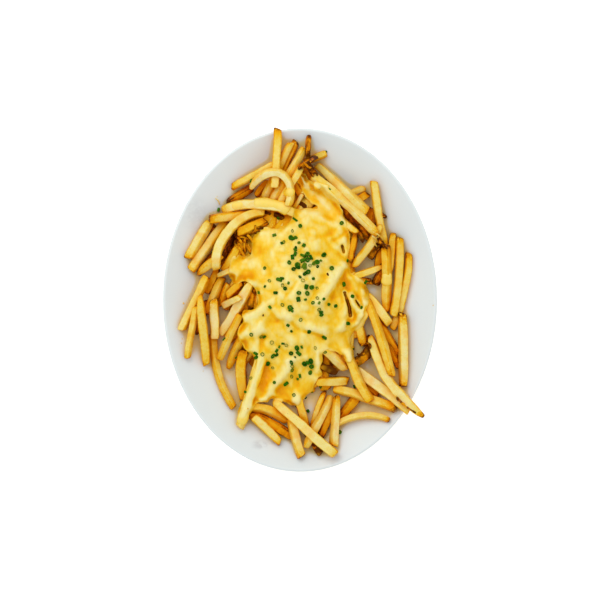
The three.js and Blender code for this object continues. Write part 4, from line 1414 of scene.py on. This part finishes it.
class Chive:
    """A short hollow cut of a chive: its size, how it lies and how pale it is."""

    def __init__(self, radius, wall, length, tilt, heading, age):
        self.radius, self.wall, self.length = radius, wall, length
        self.tilt, self.heading, self.age = tilt, heading, age

    def add_to(self, pile, place, normal, draw):
        phi = circle_angles(CHIVE_SIDES)
        squash = draw.uniform(0.65, 1)
        slant = draw.uniform(-0.25, 0.25)
        hole = 1 - self.wall
        rings = []
        for size, end in ((0.93, -1), (1, -0.8), (1, 0.8), (0.93, 1), (hole, 0.9), (hole, -0.9)):
            x = self.radius * size * np.cos(phi)
            y = self.radius * size * squash * np.sin(phi)
            rings.append(np.column_stack([x, y, end * self.length / 2 + slant * x * abs(end)]))
        faces = []
        for ring in range(len(rings)):
            following = (ring + 1) % len(rings)
            faces.extend(ring_quads(ring * CHIVE_SIDES, following * CHIVE_SIDES, CHIVE_SIDES))
        up = normal.to_track_quat("Z", "Y").to_matrix()
        spin = Matrix.Rotation(self.heading, 3, "Z")
        turn = np.array(up @ spin @ Matrix.Rotation(self.tilt, 3, "Y"))
        reach = max(abs(math.cos(self.tilt)) * self.length / 2, self.radius * squash * 0.8)
        centre = np.array(place) / MM + np.array(normal) * reach * CHIVE_LIFT
        pile.add(np.vstack(rings) @ turn.T + centre, faces, age=self.age)


def chopped_chives(draw):
    """Each chive with its place: thick dark cuts, rings seen end on and lying ones."""
    upright = HALF_TURN / 2
    for radius, spots in CHIVE_CUTS.items():
        for x, y in spots:
            size = radius * draw.uniform(0.88, 1.12)
            lies = draw.random() < CHIVE_LYING_SHARE
            tilt = upright + draw.uniform(-0.3, 0.3) if lies else draw.uniform(-0.65, 0.65)
            length = size * (draw.uniform(1.4, 2.1) if lies else draw.uniform(0.9, 1.5))
            wall = draw.uniform(0.5, 0.75)
            turn = draw.uniform(0, 2 * HALF_TURN)
            yield x, y, Chive(size * (0.8 if lies else 1), wall, length, tilt, turn,
                              draw.uniform(0, 0.72))
    for spots, ages in ((GREEN_RINGS, (0.35, 0.7)), (PALE_RINGS, (0.8, 1.0))):
        for x, y in spots:
            yield x, y, Chive(draw.uniform(1.5, 1.95), draw.uniform(0.24, 0.34), 1.0,
                              draw.uniform(-0.3, 0.3), draw.uniform(0, 2 * HALF_TURN),
                              draw.uniform(*ages))
    for x, y, heading, length in LYING_CHIVES:
        yield x, y, Chive(1.2, 0.6, length, upright, math.radians(heading), 0.3)


def make_chives(surface, draw):
    pile = Pile()
    for x, y, chive in chopped_chives(draw):
        chive.add_to(pile, *surface.under(x, y), draw)
    return pile.to_object("chives")


def make_crumbs(surface, draw):
    pile = Pile()
    for x, y, size, tone in CRUMBS:
        place, _ = surface.under(x, y)
        phi = circle_angles(CRUMB_SIDES)
        levels = np.linspace(-0.85, 0.85, CRUMB_RINGS)
        points = np.vstack([
            np.column_stack([
                np.cos(phi) * math.cos(level * 1.5), np.sin(phi) * math.cos(level * 1.5),
                np.full(CRUMB_SIDES, math.sin(level * 1.5)),
            ]) for level in levels
        ] + [np.array([[0, 0, -1.0], [0, 0, 1.0]])])
        stretch = np.array([draw.uniform(0.7, 1.5), draw.uniform(0.5, 1), draw.uniform(0.4, 0.7)])
        points = points * stretch * size / 2
        points = points * (1 + 0.25 * drawn_ripple(draw, size).at(points))[:, None]
        turn = np.array(Matrix.Rotation(draw.uniform(0, 2 * HALF_TURN), 3, "Z"))
        centre = np.array(place) / MM + np.array([0, 0, size * 0.2])
        faces = tube_faces(CRUMB_RINGS, CRUMB_SIDES)
        pile.add(points @ turn.T + centre, faces, tone=tone, tip=0, edge=0.3)
    return pile.to_object("crumbs")


def make_crisp_bits(ground, food, draw):
    pile = Pile()
    for row in CRISP_BITS:
        bit = Fry(row + (row[-1] - 0.3, row[-1] - 0.3), ground, food, sink=0.4)
        add_fry(pile, bit, draw, HIDDEN_CORNER_POINTS, 0.9)
    return pile.to_object("crisp_bits")


# ---- Materials ----

class Paint:
    """A node material, built step by step."""

    def __init__(self, name):
        self.material = bpy.data.materials.new(name)
        self.material.use_nodes = True
        self.tree = self.material.node_tree
        self.shader = self.tree.nodes["Principled BSDF"]
        self.place = self.node("ShaderNodeTexCoord").outputs["Object"]

    def node(self, kind):
        return self.tree.nodes.new(kind)

    def feed(self, socket, value):
        if isinstance(value, bpy.types.NodeSocket):
            self.tree.links.new(value, socket)
        else:
            socket.default_value = value

    def set(self, **values):
        for name, value in values.items():
            self.feed(self.shader.inputs[name.replace("_", " ")], value)

    def attribute(self, name):
        node = self.node("ShaderNodeAttribute")
        node.attribute_name = name
        return node.outputs["Fac"]

    def noise(self, size, detail=3, rough=0.55, stretch=(1, 1, 1), smear=0):
        """Noise with features of about that size in millimetres."""
        mapping = self.node("ShaderNodeMapping")
        mapping.inputs["Scale"].default_value = stretch
        self.feed(mapping.inputs["Vector"], self.place)
        node = self.node("ShaderNodeTexNoise")
        self.feed(node.inputs["Vector"], mapping.outputs["Vector"])
        node.inputs["Scale"].default_value = 1 / (size * MM)
        node.inputs["Detail"].default_value = detail
        node.inputs["Roughness"].default_value = rough
        node.inputs["Distortion"].default_value = smear
        return node.outputs["Fac"]

    def maths(self, kind, *values):
        node = self.node("ShaderNodeMath")
        node.operation = kind
        for socket, value in zip(node.inputs, values):
            self.feed(socket, value)
        return node.outputs["Value"]

    def span(self, value, low, high, to_low=0, to_high=1):
        """Values from low to high mapped softly onto another range."""
        node = self.node("ShaderNodeMapRange")
        node.interpolation_type = "SMOOTHSTEP"
        self.feed(node.inputs["Value"], value)
        for name, number in (("From Min", low), ("From Max", high),
                             ("To Min", to_low), ("To Max", to_high)):
            node.inputs[name].default_value = number
        return node.outputs["Result"]

    def mix(self, share, first, second, blend="MIX"):
        node = self.node("ShaderNodeMix")
        node.data_type = "RGBA"
        node.blend_type = blend
        self.feed(node.inputs[0], share)
        self.feed(node.inputs[6], first)
        self.feed(node.inputs[7], second)
        return node.outputs[2]

    def ramp(self, value, stops):
        node = self.node("ShaderNodeValToRGB")
        self.feed(node.inputs["Fac"], value)
        elements = node.color_ramp.elements
        while len(elements) < len(stops):
            elements.new(0.5)
        for element, (position, colour) in zip(elements, stops):
            element.position = position
            element.color = colour
        return node.outputs["Color"]

    def bump(self, height, strength, distance):
        node = self.node("ShaderNodeBump")
        node.inputs["Strength"].default_value = strength
        node.inputs["Distance"].default_value = distance * MM
        self.feed(node.inputs["Height"], height)
        self.feed(self.shader.inputs["Normal"], node.outputs["Normal"])

    def facing_up(self):
        """1 on faces that point up, 0 on upright ones and -1 on the underside."""
        geometry = self.node("ShaderNodeNewGeometry")
        parts = self.node("ShaderNodeSeparateXYZ")
        self.feed(parts.inputs["Vector"], geometry.outputs["Normal"])
        return parts.outputs["Z"]


FRY_TONES = [
    (0.00, srgb(248, 236, 172)),
    (0.18, srgb(246, 225, 134)),
    (0.36, srgb(243, 209, 88)),
    (0.54, srgb(240, 184, 26)),
    (0.72, srgb(230, 152, 6)),
    (0.88, srgb(184, 100, 2)),
    (1.00, srgb(90, 44, 5)),
]
# The gold that painted shade on the fries multiplies in.
SHADE_GOLD = srgb(255, 214, 40)
# The gold that painted shade in the gaps between the fries multiplies into the glaze.
GAP_SHADE_GOLD = srgb(255, 230, 160)


def fried_potato():
    paint = Paint("fried_potato")
    mottle = paint.noise(6, 4, 0.6)
    grain = paint.noise(1.2, 3, 0.65)
    edge = paint.span(paint.attribute("edge"), 0.45, 1.0)
    edge = paint.maths("MULTIPLY", edge, paint.span(mottle, 0.3, 0.6, 0.35, 1))
    tone = paint.maths("MULTIPLY_ADD", mottle, 0.50, paint.attribute("tone"))
    tone = paint.maths("MULTIPLY_ADD", edge, 0.22, tone)
    # Painted shade: faces that don't point up, and places deep between the fries, get a darker
    # golden tone.
    side = paint.span(paint.facing_up(), 0.97, 0.1)
    tone = paint.maths("MULTIPLY_ADD", side, 0.20, tone)
    tone = paint.maths("MULTIPLY_ADD", paint.attribute("gap_shade"), 0.15, tone)
    tone = paint.maths("MULTIPLY_ADD", grain, 0.25, tone)
    tone = paint.maths("SUBTRACT", tone, 0.40)
    tip_noise = paint.span(paint.noise(2.4, 4, 0.65), 0.2, 0.55)
    tip = paint.maths("MULTIPLY", paint.attribute("tip"), tip_noise)
    tone = paint.maths("MULTIPLY_ADD", tip, 1.1, tone)
    colour = paint.ramp(tone, FRY_TONES)
    specks = paint.span(paint.noise(0.9, 1, 0.5), 0.70, 0.76)
    colour = paint.mix(paint.maths("MULTIPLY", specks, 0.5), colour, srgb(160, 90, 10))
    blotch = paint.span(paint.noise(13, 2, 0.5), 0.52, 0.70)
    colour = paint.mix(paint.maths("MULTIPLY", blotch, 0.42), colour, srgb(246, 176, 20))
    film = paint.maths("MULTIPLY", paint.attribute("film"), paint.span(mottle, 0.25, 0.6, 0.1, 0.55))
    film = paint.maths("MULTIPLY", film, paint.span(tone, 0.75, 0.45))
    colour = paint.mix(film, colour, srgb(252, 206, 54))
    # Painted shade: the same places are multiplied by a deep gold.
    depth = paint.maths("MAXIMUM", paint.attribute("gap_shade"), paint.maths("MULTIPLY", side, 0.75))
    colour = paint.mix(depth, colour, SHADE_GOLD, "MULTIPLY")
    paint.set(Base_Color=colour, Roughness=0.45, Specular_IOR_Level=0.12,
              Specular_Tint=srgb(255, 220, 120), Subsurface_Weight=0.1,
              Subsurface_Radius=(1.0, 0.6, 0.08), Subsurface_Scale=1.6 * MM)
    relief = paint.maths("MULTIPLY_ADD", grain, 0.5, paint.noise(3, 3, 0.6))
    paint.bump(relief, 0.25, 0.4)
    return paint.material


def cheese_sauce():
    paint = Paint("cheese_sauce")
    # Painted shade and highlight: more amber in the hollows, partly for the thicker sauce there, and
    # creamier on the ridges.
    hollow = paint.attribute("hollow")
    flow = paint.noise(16, 3, 0.5, smear=0.6)
    streaks = paint.noise(5, 4, 0.65, stretch=(1, 0.4, 1), smear=0.5)
    depth = paint.maths("MULTIPLY_ADD", flow, 0.4, hollow)
    depth = paint.maths("MULTIPLY_ADD", streaks, 0.3, depth)
    # Painted shade: where the sauce's surface turns from facing up, it is made more amber.
    depth = paint.maths("MULTIPLY_ADD", paint.span(paint.facing_up(), 0.9, 0.2), 0.45, depth)
    colour = paint.ramp(paint.span(depth, -0.45, 1.40), [
        (0.00, srgb(255, 243, 180)),
        (0.16, srgb(255, 234, 142)),
        (0.36, srgb(254, 219, 98)),
        (0.56, srgb(253, 205, 46)),
        (0.74, srgb(251, 189, 14)),
        (0.90, srgb(248, 172, 5)),
        (1.00, srgb(236, 152, 3)),
    ])
    specks = paint.span(paint.noise(1.6, 1, 0.5), 0.76, 0.80)
    colour = paint.mix(paint.maths("MULTIPLY", specks, 0.25), colour, srgb(226, 146, 12))
    paint.set(Base_Color=colour, Roughness=0.26, Specular_IOR_Level=0.28,
              Specular_Tint=srgb(255, 232, 160), Subsurface_Weight=0.12,
              Subsurface_Radius=(1.0, 0.6, 0.15), Subsurface_Scale=1.2 * MM)
    paint.bump(paint.maths("MULTIPLY_ADD", streaks, 0.9, paint.noise(4, 3, 0.5)), 0.4, 0.8)
    return paint.material


def chive_green():
    paint = Paint("chives")
    colour = paint.ramp(paint.attribute("age"), [
        (0.00, srgb(24, 84, 4)),
        (0.40, srgb(50, 114, 8)),
        (0.65, srgb(86, 130, 16)),
        (0.85, srgb(140, 146, 32)),
        (1.00, srgb(180, 174, 56)),
    ])
    colour = paint.mix(paint.maths("MULTIPLY", paint.noise(0.9, 2), 0.35), colour, srgb(8, 42, 2))
    paint.set(Base_Color=colour, Roughness=0.42, Specular_IOR_Level=0.14,
              Specular_Tint=srgb(190, 240, 120))
    paint.bump(paint.noise(0.8, 2), 0.2, 0.2)
    return paint.material


def grey_patch_share(paint, x, y, half_x, half_y, strength):
    """How much of a streaky grey oval patch lies at each place of the glaze."""
    mapping = paint.node("ShaderNodeMapping")
    mapping.vector_type = "TEXTURE"
    mapping.inputs["Location"].default_value = (x * MM, y * MM, WELL_FLOOR * MM)
    mapping.inputs["Scale"].default_value = (half_x * MM, half_y * MM, 1)
    paint.feed(mapping.inputs["Vector"], paint.place)
    length = paint.node("ShaderNodeVectorMath")
    length.operation = "LENGTH"
    paint.feed(length.inputs[0], mapping.outputs["Vector"])
    patch = paint.span(length.outputs["Value"], 1.1, 0.3)
    streaks = paint.span(paint.noise(6, 3, 0.6), 0.3, 0.6)
    return paint.maths("MULTIPLY", paint.maths("MULTIPLY", patch, streaks), strength)


def white_glaze():
    paint = Paint("white_glaze")
    colour = paint.mix(paint.noise(45, 3, 0.5), srgb(236, 243, 243), srgb(231, 239, 238))
    for spot in GREY_PATCHES:
        colour = paint.mix(grey_patch_share(paint, *spot), colour, srgb(208, 212, 213))
    # Partly an oily film, partly painted bounce light: the glaze is tinted warm close round the
    # food.
    warmth = paint.maths("MULTIPLY", paint.attribute("oil_and_bounce"), paint.noise(7, 3, 0.6))
    colour = paint.mix(paint.span(warmth, 0.05, 0.55, 0, 0.40), colour, srgb(252, 224, 156))
    shade = paint.span(paint.attribute("gap_shade"), 0.45, 1.0)
    colour = paint.mix(shade, colour, GAP_SHADE_GOLD, "MULTIPLY")
    paint.set(Base_Color=colour, Roughness=0.26, Specular_IOR_Level=0.38)
    paint.bump(paint.noise(26, 2, 0.4), 0.08, 0.6)
    return paint.material


def floor_paint():
    paint = Paint("pale_floor")
    paint.set(Base_Color=srgb(250, 250, 250), Roughness=0.9, Specular_IOR_Level=0.1,
              Emission_Color=(1, 1, 1, 1), Emission_Strength=FLOOR_GLOW)
    return paint.material


# ---- Stage ----

def make_floor():
    corners = np.array([[-1, -1, 0], [1, -1, 0], [1, 1, 0], [-1, 1, 0]], float)
    floor = make_object("floor", corners * FLOOR_HALF_SIZE, [(0, 1, 2, 3)], {})
    floor.data.materials.append(floor_paint())


def make_light(name, power, size, direction, distance):
    data = bpy.data.lights.new(name, "AREA")
    data.shape = "DISK"
    data.size = size
    data.energy = power
    light = bpy.data.objects.new(name, data)
    towards = Vector(direction).normalized()
    light.location = towards * distance
    light.rotation_euler = towards.to_track_quat("Z", "Y").to_euler()
    bpy.context.scene.collection.objects.link(light)


def make_camera():
    data = bpy.data.cameras.new("camera")
    data.sensor_width = SENSOR_WIDTH
    data.lens = SENSOR_WIDTH * CAMERA_DISTANCE / VIEW_WIDTH
    camera = bpy.data.objects.new("camera", data)
    camera.location = (0, 0, (CAMERA_DISTANCE + RIM_HEIGHT) * MM)
    bpy.context.scene.collection.objects.link(camera)
    bpy.context.scene.camera = camera


def light_room():
    world = bpy.data.worlds.new("soft_room")
    world.use_nodes = True
    tree = world.node_tree
    place = tree.nodes.new("ShaderNodeTexCoord")
    parts = tree.nodes.new("ShaderNodeSeparateXYZ")
    climb = tree.nodes.new("ShaderNodeMapRange")
    climb.inputs["To Min"].default_value = HORIZON_LIGHT
    climb.inputs["To Max"].default_value = ZENITH_LIGHT
    room = tree.nodes["Background"]
    room.inputs["Color"].default_value = (1, 1, 1, 1)
    tree.links.new(place.outputs["Generated"], parts.inputs["Vector"])
    tree.links.new(parts.outputs["Z"], climb.inputs["Value"])
    tree.links.new(climb.outputs["Result"], room.inputs["Strength"])
    bpy.context.scene.world = world
    make_light("key", KEY_POWER, KEY_SIZE, KEY_DIRECTION, KEY_DISTANCE)
    bpy.context.scene.view_settings.view_transform = "Standard"
    bpy.context.scene.view_settings.look = "None"


# ---- Assembly ----

def dress(obj, material, slot, *nodes):
    obj.data.materials.clear()
    obj.data.materials.append(material)
    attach(obj, "root")
    if nodes:
        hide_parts(*nodes)


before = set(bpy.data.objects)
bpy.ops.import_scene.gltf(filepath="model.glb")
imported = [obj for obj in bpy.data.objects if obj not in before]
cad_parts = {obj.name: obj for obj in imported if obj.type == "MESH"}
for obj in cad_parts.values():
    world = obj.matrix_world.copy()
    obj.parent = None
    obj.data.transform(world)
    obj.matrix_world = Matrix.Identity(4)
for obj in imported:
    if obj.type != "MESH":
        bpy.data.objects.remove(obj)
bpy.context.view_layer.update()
draw = random.Random(SEED)
make_camera()
make_floor()
light_room()

ground = HeightMap(platter_top)
food = HeightMap(lambda x, y: np.where(core_reach(x, y) < 1, core_top(x, y), platter_top(x, y)))
hidden_fries = lay_hidden_fries(ground, draw)
shown_fries = []
for fry_row in (
    LOWEST_FRIES + FAR_END_FRIES + LEFT_BANK_FRIES + RIGHT_BANK_FRIES + NEAR_END_FRIES
):
    shown_fries.append(Fry(fry_row, ground, food))
    shown_fries[-1].mark(food)

shown_pile = Pile()
for shown in shown_fries:
    add_fry(shown_pile, shown, draw, FRY_CORNER_POINTS, FRY_STEP)
fries = shown_pile.to_object("shown_fries")
hidden_pile = Pile()
for hidden in hidden_fries:
    add_fry(hidden_pile, hidden, draw, HIDDEN_CORNER_POINTS, HIDDEN_FRY_STEP)
fries_beneath = hidden_pile.to_object("fries_beneath")
core = make_inner_core()

sauced = food.copy()
for hidden in hidden_fries:
    hidden.mark(sauced)
for coated_row in COATED_FRIES:
    Fry(coated_row, ground, sauced, sink=COATED_SINK).mark(sauced)
blanket = Sauce(sauced)
sauce = make_sauce(blanket, sauced, draw)
set_film(fries, blanket)
platter = make_platter()
set_oil_and_bounce(platter, ground, food)
crisp_bits = make_crisp_bits(ground, food, draw)
for buried_piece in (platter, fries, fries_beneath, core):
    set_gap_shade(buried_piece, sauced)

surface = Surface([platter, fries, fries_beneath, sauce])
chives = make_chives(surface, draw)
crumbs = make_crumbs(surface, draw)

potato = fried_potato()
dress(platter, white_glaze(), "white_glaze", "plate")
for heap_piece in (fries, fries_beneath, core):
    dress(heap_piece, potato, "fried_potato", "fries")
dress(crisp_bits, potato, "fried_potato")
dress(crumbs, potato, "fried_potato")
dress(sauce, cheese_sauce(), "cheese_sauce", "cheese_sauce")
dress(chives, chive_green(), "chives")
